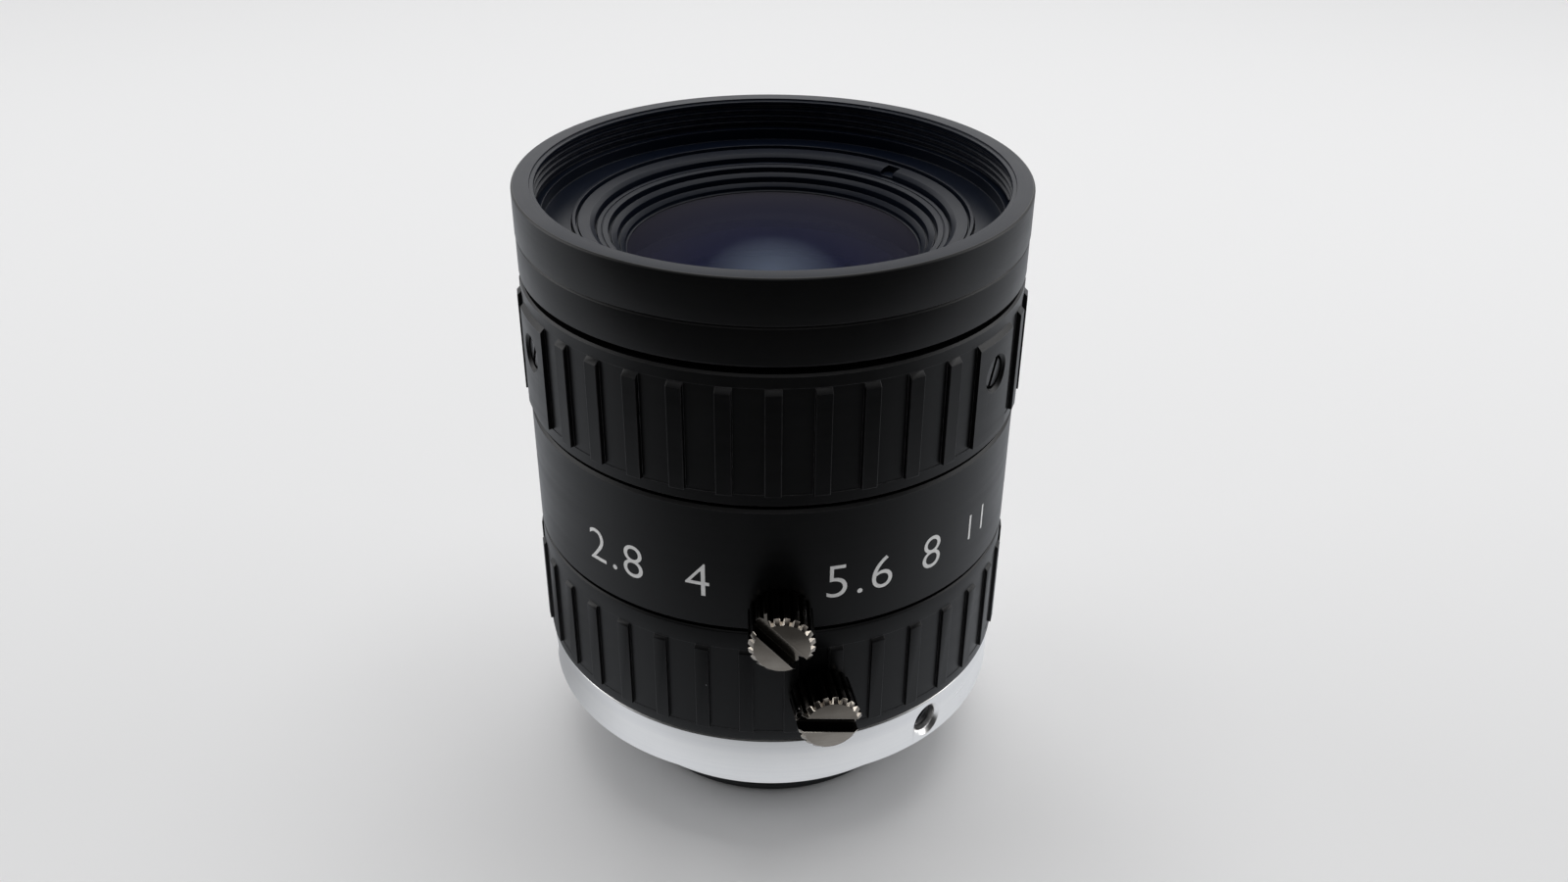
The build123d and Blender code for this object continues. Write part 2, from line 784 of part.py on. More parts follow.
# Rear cell: screwed into the bottom of the optics barrel
with BuildPart() as rear_cell:
    revolve(
        section(
            (rear_lens_bore, rear_cell_bottom),
            (rear_cell_radius, rear_cell_bottom),
            (rear_cell_radius, cell_flange_bottom),
            (chamber_part_radius, cell_flange_bottom),
            (chamber_part_radius, cell_flange_top),
            (rear_cell_radius, cell_flange_top),
            (rear_cell_radius, rear_cell_top),
            (rear_lens_radius - rear_cell_lip, rear_cell_top),
            (rear_lens_radius - rear_cell_lip, rear_cell_lip_bottom),
            (rear_lens_bore, rear_cell_lip_bottom),
        ),
        axis=Axis.Z,
    )

# Rear retaining ring: holds the rear group in its cell
with BuildPart() as rear_retaining_ring:
    revolve(
        tube_section(
            rear_lens_radius - rear_ring_wall,
            rear_lens_radius,
            rear_ring_bottom,
            rear_ring_top,
        ),
        axis=Axis.Z,
    )
    revolve(seventh_lens_outline, axis=Axis.Z, mode=Mode.SUBTRACT)

# Iris ring: turns on the main barrel between the mount ring and the number band
iris_rib_bottom = iris_bottom + iris_bottom_band_height
iris_rib_top = iris_top - iris_top_band_height
iris_rib_angles = [iris_first_rib_angle + rib_pitch * place for place in range(rib_count)]
iris_lock_height = (iris_rib_bottom + iris_rib_top) / 2
with BuildPart() as iris_rib:
    extrude(
        section(
            (iris_base_radius - iris_rib_rise, iris_rib_bottom),
            (iris_rib_radius, iris_rib_bottom),
            (iris_rib_radius, iris_rib_top - iris_rib_radius + iris_band_radius),
            (iris_band_radius, iris_rib_top),
            (iris_base_radius - iris_rib_rise, iris_rib_top),
        ),
        amount=iris_rib_width / 2,
        both=True,
    )
with BuildPart() as iris_ring:
    revolve(
        section(
            (iris_bore_radius, iris_bottom),
            (iris_band_radius - ring_edge_chamfer, iris_bottom),
            (iris_band_radius, iris_bottom + ring_edge_chamfer),
            (iris_band_radius, iris_rib_bottom),
            (iris_base_radius, iris_rib_bottom),
            (iris_base_radius, iris_rib_top),
            (iris_band_radius, iris_rib_top),
            (iris_band_radius, iris_top - ring_edge_chamfer),
            (iris_band_radius - ring_edge_chamfer, iris_top),
            (iris_bore_radius, iris_top),
        ),
        axis=Axis.Z,
    )
    with Locations([around(angle) for angle in iris_rib_angles]):
        add(iris_rib.part)
    with BuildSketch(outward_plane(iris_lock_angle, lock_face_distance, iris_lock_height)):
        Circle(lock_shank_radius + screw_clearance)
    extrude(amount=lower_bore_radius - lock_face_distance, mode=Mode.SUBTRACT)
    with BuildSketch(outward_plane(drive_pin_angle, lock_face_distance, drive_pin_height)):
        Circle(drive_pin_radius + screw_clearance)
    extrude(amount=lower_bore_radius - lock_face_distance, mode=Mode.SUBTRACT)

# Iris drive pin: fixed in the iris ring, its tip runs in the cam ring's fork
drive_pin_tip_radius = fork_inner_radius + drive_pin_tip_inset
with BuildPart() as iris_drive_pin:
    with BuildSketch(outward_plane(drive_pin_angle, drive_pin_tip_radius, drive_pin_height)):
        Circle(drive_pin_radius)
    extrude(amount=iris_base_radius - face_clearance - drive_pin_tip_radius)

# Iris base plate: carries the five pivots
pivot_angles = [first_pivot_angle + 360 / blade_count * place for place in range(blade_count)]
with BuildPart() as iris_base_plate:
    revolve(
        tube_section(
            blade_inner_radius - base_plate_step,
            chamber_part_radius,
            plate_bottom,
            chamber_top,
        ),
        axis=Axis.Z,
    )
    with BuildSketch(Plane.XY.offset(plate_bottom)):
        with Locations([around(angle) for angle in pivot_angles]):
            with Locations((blade_pivot_radius, 0)):
                Circle(blade_pin_radius + screw_clearance)
    extrude(amount=base_plate_height, mode=Mode.SUBTRACT)


def crank_pin_place(turned):
    """Where a leaf's drive pin is in the turning cam ring, when that has turned."""
    swing = blade_swing_degrees * turned / iris_turn_degrees
    crank = radians(swing - 90 - blade_swing_degrees / 2)
    pin = Vector(blade_pivot_radius + blade_crank * cos(crank), blade_crank * sin(crank))
    return pin.rotate(Axis.Z, -turned)


# Iris cam ring: five slots move the leaves' drive pins, and a fork takes the drive pin
fork_slot_width = 2 * (drive_pin_radius + fork_clearance)
fork_bottom = cell_flange_top + face_clearance
fork_slot_top = drive_pin_height + fork_slot_width / 2
with BuildPart() as iris_cam_ring:
    revolve(
        tube_section(
            blade_inner_radius + cam_ring_step,
            chamber_radius - face_clearance,
            cam_bottom,
            cam_top,
        ),
        axis=Axis.Z,
    )
    with BuildSketch(Plane.XY.offset(cam_top)):
        with Locations([around(angle) for angle in pivot_angles]):
            SlotArc(
                ThreePointArc(
                    crank_pin_place(0),
                    crank_pin_place(iris_turn_degrees / 2),
                    crank_pin_place(iris_turn_degrees),
                ),
                2 * (blade_pin_radius + cam_slot_clearance),
            )
    extrude(amount=-cam_slot_depth, mode=Mode.SUBTRACT)
    with BuildSketch(Plane.XY.offset(fork_bottom)):
        with Locations(around(drive_pin_angle)):
            with Locations((fork_middle_radius, 0)):
                Rectangle(fork_thickness, fork_width)
    extrude(amount=cam_bottom - fork_bottom)
    with BuildSketch(Plane.XY.offset(fork_bottom)):
        with Locations(around(drive_pin_angle)):
            with Locations((fork_middle_radius, 0)):
                Rectangle(2 * fork_thickness, fork_slot_width)
    extrude(amount=fork_slot_top - fork_bottom, mode=Mode.SUBTRACT)

# Iris retaining ring: holds the cam ring up against the leaves
with BuildPart() as iris_retaining_ring:
    revolve(
        tube_section(
            iris_retaining_bore_radius,
            chamber_part_radius,
            iris_retaining_bottom,
            iris_retaining_top,
        ),
        axis=Axis.Z,
    )

# Outline of one iris leaf, with its pivot on the +X side
blade_arc = blade_span_degrees + blade_lead_degrees
crank_pin = crank_pin_place(0)
ear_middle = (Vector(blade_pivot_radius, 0) + crank_pin) / 2
ear_tilt = degrees(asin((crank_pin.X - blade_pivot_radius) / blade_crank)) - 90
with BuildSketch() as blade_outline:
    with BuildLine():
        inner_arc = CenterArc((0, 0), blade_inner_radius, -blade_lead_degrees, blade_arc)
        outer_arc = CenterArc((0, 0), blade_outer_radius, -blade_lead_degrees, blade_arc)
        Line(inner_arc @ 0, outer_arc @ 0)
        Line(inner_arc @ 1, outer_arc @ 1)
    make_face()
    with Locations(ear_middle):
        SlotCenterToCenter(blade_crank, 2 * blade_ear_radius, rotation=ear_tilt)
    with Locations(((blade_outer_radius + blade_pivot_radius) / 2, 0)):
        Rectangle(blade_ear_reach + blade_ear_radius, 2 * blade_ear_radius)


def iris_blade(place):
    """One leaf at its own level, with its pivot pin up and its drive pin down."""
    level = blade_bottom + blade_level_step * place
    with BuildPart() as leaf:
        with BuildSketch(Plane.XY.offset(level)):
            with Locations(around(pivot_angles[place])):
                add(blade_outline.sketch)
        extrude(amount=blade_thickness)
        with BuildSketch(Plane.XY.offset(level)):
            with Locations(around(pivot_angles[place])):
                with Locations((blade_pivot_radius, 0)):
                    Circle(blade_pin_radius)
        extrude(amount=plate_bottom - level + blade_pin_length)
        with BuildSketch(Plane.XY.offset(cam_top - blade_pin_length)):
            with Locations(around(pivot_angles[place])):
                with Locations(crank_pin):
                    Circle(blade_pin_radius)
        extrude(amount=level - cam_top + blade_pin_length)
    return leaf.part


# Gap between two teeth of a lock screw's knurl, a little wider than the tooth crest
tooth_gap_half = lock_gap_share * lock_head_radius / lock_teeth
with BuildSketch() as tooth_gap:
    with BuildLine():
        Polyline(
            (lock_head_radius - lock_tooth_depth, 0),
            (lock_head_radius + lock_tooth_margin, tooth_gap_half),
            (lock_head_radius + lock_tooth_margin, -tooth_gap_half),
            close=True,
        )
    make_face()


def lock_screw(angle, height, head_start, tip_radius, slot_angle):
    """A thumb screw along a radius: knurled slotted head outside, plain tip inside."""
    head_length = lock_face_distance - head_start
    with BuildPart(outward_plane(angle, head_start, height)) as screw:
        Cylinder(
            lock_head_radius, head_length, align=(Align.CENTER, Align.CENTER, Align.MIN)
        )
        ends = screw.faces().filter_by(GeomType.PLANE).sort_by(SortBy.DISTANCE)
        chamfer(ends[-1].edges(), lock_face_chamfer)
        ends = screw.faces().filter_by(GeomType.PLANE).sort_by(SortBy.DISTANCE)
        chamfer(ends[0].edges(), lock_back_chamfer)
        with BuildSketch(outward_plane(angle, head_start, height)):
            with PolarLocations(0, lock_teeth):
                add(tooth_gap.sketch)
        extrude(amount=head_length, mode=Mode.SUBTRACT)
        with BuildSketch(outward_plane(angle, lock_face_distance, height, slot_angle)):
            Rectangle(slot_cut_reach * lock_head_radius, lock_slot_width)
        extrude(amount=-lock_slot_depth, mode=Mode.SUBTRACT)
        with BuildSketch(outward_plane(angle, tip_radius, height)):
            Circle(lock_shank_radius)
        extrude(amount=head_start - tip_radius)
    return screw.part


# Lock screws: the upper one stops the focus sleeve, the lower one the iris ring
focus_lock_screw = lock_screw(
    focus_lock_angle,
    focus_lock_height,
    barrel_radius + lock_head_standoff,
    sleeve_radius + lock_tip_clearance,
    focus_lock_slot_angle,
)
iris_lock_screw = lock_screw(
    iris_lock_angle,
    iris_lock_height,
    iris_rib_radius + face_clearance,
    lower_barrel_radius + lock_tip_clearance,
    iris_lock_slot_angle,
)

pieces = {
    "mount_ring": mount_ring.part,
    "mount_set_screws": mount_set_screws.part,
    "rear_spigot": rear_spigot.part,
    "main_barrel": main_barrel.part,
    "guide_screws": guide_screws.part,
    "sleeve_retaining_ring": sleeve_retaining_ring.part,
    "focus_sleeve": focus_sleeve.part,
    "focus_ring": focus_ring.part,
    "focus_set_screws": focus_set_screws.part,
    "front_ring": front_ring.part,
    "optics_barrel": optics_barrel.part,
    "front_retaining_ring": front_retaining_ring.part,
    "front_lens": front_lens.part,
    "second_lens": second_lens.part,
    "third_lens": third_lens.part,
    "fourth_lens": fourth_lens.part,
    "fifth_lens": fifth_lens.part,
    "sixth_lens": sixth_lens.part,
    "seventh_lens": seventh_lens.part,
    "front_spacer": front_spacer.part,
    "middle_spacer": middle_spacer.part,
    "rear_spacer": rear_spacer.part,
    "rear_cell": rear_cell.part,
    "rear_retaining_ring": rear_retaining_ring.part,
    "iris_ring": iris_ring.part,
    "iris_drive_pin": iris_drive_pin.part,
    "iris_base_plate": iris_base_plate.part,
    "iris_cam_ring": iris_cam_ring.part,
    "iris_retaining_ring": iris_retaining_ring.part,
    "focus_lock_screw": focus_lock_screw,
    "iris_lock_screw": iris_lock_screw,
}
for place in range(blade_count):
    pieces[f"iris_blade_{place + 1}"] = iris_blade(place)

os.makedirs("parts", exist_ok=True)
for name, piece in pieces.items():
    piece.label = name
    export_step(piece, f"parts/{name}.step")
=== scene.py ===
from math import cos, pi, radians, sin, sqrt, tau

import bmesh
import bpy
from mathutils import Matrix, Vector


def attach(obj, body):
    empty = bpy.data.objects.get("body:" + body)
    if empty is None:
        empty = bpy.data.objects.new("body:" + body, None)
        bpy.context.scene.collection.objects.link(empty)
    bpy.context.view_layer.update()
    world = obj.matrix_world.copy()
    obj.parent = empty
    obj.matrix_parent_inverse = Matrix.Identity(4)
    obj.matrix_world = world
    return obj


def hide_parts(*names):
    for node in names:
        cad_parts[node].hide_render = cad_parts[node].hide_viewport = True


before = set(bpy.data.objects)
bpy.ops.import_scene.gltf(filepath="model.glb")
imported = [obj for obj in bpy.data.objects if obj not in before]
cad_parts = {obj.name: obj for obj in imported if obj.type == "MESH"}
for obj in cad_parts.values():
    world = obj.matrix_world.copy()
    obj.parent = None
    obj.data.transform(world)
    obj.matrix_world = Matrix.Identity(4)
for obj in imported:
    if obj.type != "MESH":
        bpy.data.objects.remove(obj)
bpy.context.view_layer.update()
mm = 0.001
scene = bpy.context.scene
print("frame loaded:", len(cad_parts), "nodes")


# helpers for the shapes: sizes come in millimetres and degrees, meshes are in metres

shaping = {
    "weld": 1e-7, "weldAfterCut": 2e-7,  # metres: points nearer than this are one
    "softenAbove": 28.0,  # edges that turn by more than this get the piece's bevel
    "creaseAbove": 20.0,  # edges that turn by more than this stay crisp in the shading
    "bevelSegments": 2,
}


def closeUp(bm):  # joins doubled points, fills open ends and turns the faces outwards
    bmesh.ops.remove_doubles(bm, verts=bm.verts, dist=shaping["weld"])
    openEdges = [edge for edge in bm.edges if edge.is_boundary]
    if openEdges:
        bmesh.ops.holes_fill(bm, edges=openEdges, sides=0)
    bmesh.ops.recalc_face_normals(bm, faces=bm.faces)
    return bm


def spinOutline(outline, steps=192, angle=tau, rise=0.0):  # a closed outline of (radius, height)
    bm = bmesh.new()
    corners = [bm.verts.new((radius * mm, 0.0, height * mm)) for radius, height in outline]
    edges = [bm.edges.new(pair) for pair in zip(corners, corners[1:] + corners[:1])]
    bmesh.ops.spin(bm, geom=corners + edges, cent=(0, 0, 0), axis=(0, 0, 1), dvec=(0, 0, rise * mm),
                   angle=angle, steps=steps, use_merge=angle == tau, use_duplicate=False)
    return closeUp(bm)


def extrudeOutline(outline, width):  # the outline stands in the XZ plane, width runs along Y
    bm = bmesh.new()
    corners = [bm.verts.new((radius * mm, -width * mm / 2, height * mm)) for radius, height in outline]
    side = bm.faces.new(corners)
    grown = bmesh.ops.extrude_face_region(bm, geom=[side])["geom"]
    moved = [item for item in grown if isinstance(item, bmesh.types.BMVert)]
    bmesh.ops.translate(bm, verts=moved, vec=(0, width * mm, 0))
    bmesh.ops.recalc_face_normals(bm, faces=bm.faces)
    return bm


def boxShape(size, centre=(0, 0, 0)):
    bm = bmesh.new()
    made = bmesh.ops.create_cube(bm, size=mm)["verts"]
    bmesh.ops.scale(bm, vec=size, verts=made)
    bmesh.ops.translate(bm, vec=Vector(centre) * mm, verts=made)
    return bm


def outwards(angle, radius, height, turn=0.0):  # local z points away from the axis
    out = Vector((sin(radians(angle)), -cos(radians(angle)), 0))
    side = Vector((cos(radians(angle)), sin(radians(angle)), 0))
    across = side * cos(radians(turn)) + Vector((0, 0, 1)) * sin(radians(turn))
    place = Matrix((across, out.cross(across), out)).transposed().to_4x4()
    place.translation = (out * radius + Vector((0, 0, height))) * mm
    return place


def aroundAxis(angle):  # turns local +X to the given place around the lens
    return Matrix.Rotation(radians(angle - 90), 4, "Z")


def takeIn(bm, part, places=(Matrix.Identity(4),)):  # adds the part at each place, and uses it up
    spare = bpy.data.meshes.new("spare")
    part.to_mesh(spare)
    part.free()
    for place in places:
        placed = spare.copy()
        placed.transform(place)
        bm.from_mesh(placed)
        bpy.data.meshes.remove(placed)
    bpy.data.meshes.remove(spare)


def workObject(name, bm):
    mesh = bpy.data.meshes.new(name)
    bm.to_mesh(mesh)
    bm.free()
    made = bpy.data.objects.new(name, mesh)
    scene.collection.objects.link(made)
    return made


def bakedMesh(made):  # the object's mesh as its modifiers leave it
    return bpy.data.meshes.new_from_object(made.evaluated_get(bpy.context.evaluated_depsgraph_get()))


def shapeMesh(name, bm, cutter=None, edge=0.0, extra=None, unite=False):
    # cuts, softens the sharp edges, adds the extra solids and returns one finished mesh
    work = workObject(name + "Work", bm)
    tool = None
    if cutter is not None:
        tool = workObject(name + "Tool", cutter)
        cut = work.modifiers.new("cut", "BOOLEAN")
        cut.operation = "DIFFERENCE"
        cut.solver = "EXACT"
        cut.use_self = unite
        cut.object = tool
    if edge:
        soften = work.modifiers.new("soften", "BEVEL")
        soften.width = edge * mm
        soften.segments = shaping["bevelSegments"]
        soften.limit_method = "ANGLE"
        soften.angle_limit = radians(shaping["softenAbove"])
        soften.use_clamp_overlap = True
    shaped = bakedMesh(work)
    bpy.data.objects.remove(work)
    if tool is not None:
        bpy.data.objects.remove(tool)
    done = bmesh.new()
    done.from_mesh(shaped)
    if extra is not None:
        takeIn(done, extra)
    bmesh.ops.remove_doubles(done, verts=done.verts, dist=shaping["weldAfterCut"])
    bmesh.ops.recalc_face_normals(done, faces=done.faces)
    for face in done.faces:
        face.smooth = True
    for rim in done.edges:
        rim.smooth = len(rim.link_faces) == 2 and rim.calc_face_angle(0) < radians(shaping["creaseAbove"])
    shaped.clear_geometry()
    done.to_mesh(shaped)
    done.free()
    shaped.name = name
    return shaped


def addPiece(name, mesh, material, body, nodes=(), second=None, marked=()):
    # marked says, face by face, where the second material goes
    made = bpy.data.objects.new(name, mesh)
    scene.collection.objects.link(made)
    mesh.materials.clear()
    mesh.materials.append(material)
    if second is not None:
        mesh.materials.append(second)
        for face, isMarked in zip(mesh.polygons, marked):
            face.material_index = int(isMarked)
    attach(made, body)
    if nodes:
        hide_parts(*nodes)


# node helpers, and the effects that several finishes share

def placeNode(tree, kind, inputs=None, **settings):
    node = tree.nodes.new("ShaderNode" + kind)
    for key, value in settings.items():
        setattr(node, key, value)
    for key, value in (inputs or {}).items():
        if isinstance(value, bpy.types.NodeSocket):
            tree.links.new(value, node.inputs[key])
        else:
            node.inputs[key].default_value = value
    return node


def calc(tree, operation, first, second=0.0, clamp=False):
    return placeNode(tree, "Math", {0: first, 1: second}, operation=operation, use_clamp=clamp).outputs[0]


def remap(tree, value, low, high, newLow=0.0, newHigh=1.0):
    return placeNode(tree, "MapRange", {"Value": value, "From Min": low, "From Max": high,
                                        "To Min": newLow, "To Max": newHigh}).outputs["Result"]


def mixColour(tree, mask, first, second):
    return placeNode(tree, "Mix", {"Factor": mask, 6: first, 7: second}, data_type="RGBA").outputs[2]


def flatten(tree, spot):  # drops the height, which leaves the place across the lens
    return placeNode(tree, "VectorMath", {0: spot, 1: (1, 1, 0)}, operation="MULTIPLY").outputs[0]


def newGroup(name, inputs, outputs):
    group = bpy.data.node_groups.new(name, "ShaderNodeTree")
    for label, value in inputs.items():
        socket = group.interface.new_socket(label, in_out="INPUT", socket_type="NodeSocketFloat")
        socket.default_value = value
    for label in outputs:
        group.interface.new_socket(label, in_out="OUTPUT", socket_type="NodeSocketFloat")
    return group, group.nodes.new("NodeGroupInput"), group.nodes.new("NodeGroupOutput")


def turningMarksGroup():  # fine rings left by the lathe, from radius and height
    group, given, out = newGroup("turningMarks", {"Rings per mm": 6.0, "Waver": 0.1}, ["Height", "Tone"])
    spot = placeNode(group, "TexCoord").outputs["Object"]
    split = placeNode(group, "SeparateXYZ", {0: spot})
    flat = placeNode(group, "CombineXYZ", {"X": split.outputs["X"], "Y": split.outputs["Y"]})
    radius = placeNode(group, "VectorMath", {0: flat.outputs[0]}, operation="LENGTH").outputs["Value"]
    waver = placeNode(group, "TexNoise", {"Vector": spot, "Scale": 150.0, "Detail": 1.0}).outputs["Fac"]
    shift = calc(group, "MULTIPLY", calc(group, "MULTIPLY", waver, given.outputs["Waver"]), mm)
    place = placeNode(group, "CombineXYZ", {"X": calc(group, "ADD", radius, shift),
                                            "Y": calc(group, "ADD", split.outputs["Z"], shift)})
    scale = calc(group, "MULTIPLY", given.outputs["Rings per mm"], 1 / mm)
    fine = placeNode(group, "TexNoise", {"Vector": place.outputs[0], "Scale": scale, "Detail": 2.0,
                                         "Roughness": 0.6}, noise_dimensions="2D")
    broad = placeNode(group, "TexNoise", {"Vector": place.outputs[0],
                                          "Scale": calc(group, "MULTIPLY", scale, 0.17),
                                          "Detail": 1.0}, noise_dimensions="2D")
    group.links.new(fine.outputs["Fac"], out.inputs["Height"])
    group.links.new(calc(group, "ADD", calc(group, "MULTIPLY", fine.outputs["Fac"], 0.5),
                         calc(group, "MULTIPLY", broad.outputs["Fac"], 0.5)), out.inputs["Tone"])
    return group


def surfaceGrainGroup():  # the dull, finely pitted skin of blasted and anodised metal
    group, given, out = newGroup("surfaceGrain", {"Grains per mm": 9.0}, ["Height", "Patches"])
    spot = placeNode(group, "TexCoord").outputs["Object"]
    scale = calc(group, "MULTIPLY", given.outputs["Grains per mm"], 1 / mm)
    grain = placeNode(group, "TexNoise", {"Vector": spot, "Scale": scale, "Detail": 3.0, "Roughness": 0.7})
    patch = placeNode(group, "TexNoise", {"Vector": spot, "Scale": 260.0, "Detail": 4.0, "Roughness": 0.6})
    group.links.new(grain.outputs["Fac"], out.inputs["Height"])
    group.links.new(patch.outputs["Fac"], out.inputs["Patches"])
    return group


# edge wear and painted highlight: the mask lightens edges, partly as wear and partly standing in for the
# light that edges catch
def edgeWearAndHighlightGroup():  # where a surface turns over an edge
    group, given, out = newGroup("edgeWearAndHighlight", {"Width mm": 0.08, "Breakup": 0.5}, ["Mask"])
    spot = placeNode(group, "TexCoord").outputs["Object"]
    width = calc(group, "MULTIPLY", given.outputs["Width mm"], mm)
    rounded = placeNode(group, "Bevel", {"Radius": width}, samples=6).outputs["Normal"]
    facing = placeNode(group, "NewGeometry").outputs["Normal"]
    same = placeNode(group, "VectorMath", {0: rounded, 1: facing}, operation="DOT_PRODUCT").outputs["Value"]
    turned = remap(group, same, 0.995, 0.90)
    noise = placeNode(group, "TexNoise", {"Vector": spot, "Scale": 1400.0, "Detail": 3.0}).outputs["Fac"]
    rough = calc(group, "MULTIPLY", remap(group, noise, 0.62, 0.38), given.outputs["Breakup"])
    group.links.new(calc(group, "SUBTRACT", turned, calc(group, "MULTIPLY", turned, rough), clamp=True),
                    out.inputs["Mask"])
    return group


def dustGroup():  # scattered pale specks, bent a little out of round
    group, given, out = newGroup("dust", {"Specks per mm": 0.5, "Size": 0.06}, ["Mask"])
    spot = placeNode(group, "TexCoord").outputs["Object"]
    bent = placeNode(group, "TexNoise", {"Vector": spot, "Scale": 3000.0}).outputs["Color"]
    nudged = placeNode(group, "VectorMath", {0: bent, "Scale": 0.06 * mm}, operation="SCALE")
    moved = placeNode(group, "VectorMath", {0: spot, 1: nudged.outputs[0]}, operation="ADD").outputs[0]
    scale = calc(group, "MULTIPLY", given.outputs["Specks per mm"], 1 / mm)
    cells = placeNode(group, "TexVoronoi", {"Vector": moved, "Scale": scale})
    chance = placeNode(group, "SeparateXYZ", {0: cells.outputs["Color"]})
    kept = calc(group, "GREATER_THAN", chance.outputs["X"], 0.9)  # one cell in ten holds a speck
    size = calc(group, "MULTIPLY", given.outputs["Size"], remap(group, chance.outputs["Y"], 0, 1, 0.4, 1.0))
    near = calc(group, "LESS_THAN", cells.outputs["Distance"], size)
    group.links.new(calc(group, "MULTIPLY", near, kept), out.inputs["Mask"])
    return group


turningMarks = turningMarksGroup()
surfaceGrain = surfaceGrainGroup()
edgeWearAndHighlight = edgeWearAndHighlightGroup()
dust = dustGroup()


def useGroup(tree, group, **values):
    node = tree.nodes.new("ShaderNodeGroup")
    node.node_tree = group
    for key, value in values.items():
        node.inputs[key.replace("_", " ")].default_value = value
    return node.outputs


def newMaterial(name):
    material = bpy.data.materials.new(name)
    material.use_nodes = True
    return material, material.node_tree, material.node_tree.nodes["Principled BSDF"]


def addBump(tree, shader, height):  # height in millimetres
    bump = placeNode(tree, "Bump", {"Height": height, "Distance": mm, "Strength": 1.0})
    tree.links.new(bump.outputs["Normal"], shader.inputs["Normal"])


# metals: every painted, anodised or bare metal is one of these

speckColour = (0.55, 0.55, 0.57, 1)
noSpecks = {"shade": 0.0, "perMm": 0.5, "size": 0.05}


def metalFinish(name, look):
    material, tree, shader = newMaterial(name)
    shader.inputs["Metallic"].default_value = look["metallic"]
    shader.inputs["Specular IOR Level"].default_value = look.get("specular", 0.5)
    dots = look.get("specks", noSpecks)
    rings = useGroup(tree, turningMarks, Rings_per_mm=look["rings"], Waver=look.get("waver", 0.1))
    grain = useGroup(tree, surfaceGrain, Grains_per_mm=look["grains"])
    wearAndHighlight = useGroup(tree, edgeWearAndHighlight, Width_mm=look["edgeWidth"], Breakup=0.5)
    specks = useGroup(tree, dust, Specks_per_mm=dots["perMm"], Size=dots["size"])
    patches = remap(tree, grain["Patches"], 0.35, 0.65)
    base = mixColour(tree, patches, look["colour"] + (1,), look["secondColour"] + (1,))
    ringTone = remap(tree, rings["Tone"], 0.35, 0.65, 0.0, look["ringShade"])
    base = mixColour(tree, ringTone, base, look["ringColour"] + (1,))
    # painted highlight: edges are mixed towards the lighter edge colour, partly wear and partly the light
    # they catch
    base = mixColour(tree, calc(tree, "MULTIPLY", wearAndHighlight["Mask"], look["edgeShade"]), base,
                     look["edgeColour"] + (1,))
    base = mixColour(tree, calc(tree, "MULTIPLY", specks["Mask"], dots["shade"]), base, speckColour)
    tree.links.new(base, shader.inputs["Base Color"])
    rough = remap(tree, grain["Patches"], 0.3, 0.7, look["roughness"] - look["spread"],
                  look["roughness"] + look["spread"])
    rough = calc(tree, "ADD", rough, remap(tree, rings["Tone"], 0.3, 0.7, -look["spread"], look["spread"]))
    tree.links.new(rough, shader.inputs["Roughness"])
    addBump(tree, shader, calc(tree, "ADD", calc(tree, "MULTIPLY", rings["Height"], look["ringDepth"]),
                               calc(tree, "MULTIPLY", grain["Height"], look["grainDepth"])))
    return material


blackAnodised = metalFinish("blackAnodised", {
    "colour": (0.0024, 0.0024, 0.0027), "secondColour": (0.0032, 0.0032, 0.0036),
    "metallic": 0.0, "specular": 0.22, "roughness": 0.36, "spread": 0.025,
    "rings": 7.0, "ringShade": 0.25, "ringColour": (0.006, 0.006, 0.0066), "ringDepth": 0.0016,
    "grains": 10.0, "grainDepth": 0.0022,
    "edgeWidth": 0.055, "edgeShade": 0.6, "edgeColour": (0.11, 0.11, 0.115),
    "specks": {"shade": 0.6, "perMm": 0.45, "size": 0.022},
})
innerBlack = metalFinish("innerBlack", {
    "colour": (0.0020, 0.0036, 0.0085), "secondColour": (0.0026, 0.0044, 0.0100),
    "metallic": 0.0, "specular": 0.08, "roughness": 0.34, "spread": 0.02,
    "rings": 9.0, "ringShade": 0.3, "ringColour": (0.005, 0.008, 0.015), "ringDepth": 0.0022,
    "grains": 11.0, "grainDepth": 0.0012,
    "edgeWidth": 0.05, "edgeShade": 0.6, "edgeColour": (0.11, 0.11, 0.12),
    "specks": {"shade": 0.8, "perMm": 0.5, "size": 0.03},
})
brightAluminium = metalFinish("brightAluminium", {
    "colour": (0.90, 0.89, 0.87), "secondColour": (0.93, 0.92, 0.90),
    "metallic": 1.0, "roughness": 0.30, "spread": 0.015,
    "rings": 8.0, "waver": 0.02, "ringShade": 0.35, "ringColour": (0.78, 0.78, 0.79), "ringDepth": 0.0012,
    "grains": 12.0, "grainDepth": 0.0002,
    "edgeWidth": 0.08, "edgeShade": 0.5, "edgeColour": (0.96, 0.96, 0.96),
})
nickelPlate = metalFinish("nickelPlate", {
    "colour": (0.36, 0.33, 0.29), "secondColour": (0.27, 0.24, 0.205),
    "metallic": 1.0, "roughness": 0.18, "spread": 0.04,
    "rings": 5.0, "waver": 0.6, "ringShade": 0.3, "ringColour": (0.22, 0.19, 0.16), "ringDepth": 0.0018,
    "grains": 8.0, "grainDepth": 0.0028,
    "edgeWidth": 0.06, "edgeShade": 0.6, "edgeColour": (0.85, 0.82, 0.78),
})
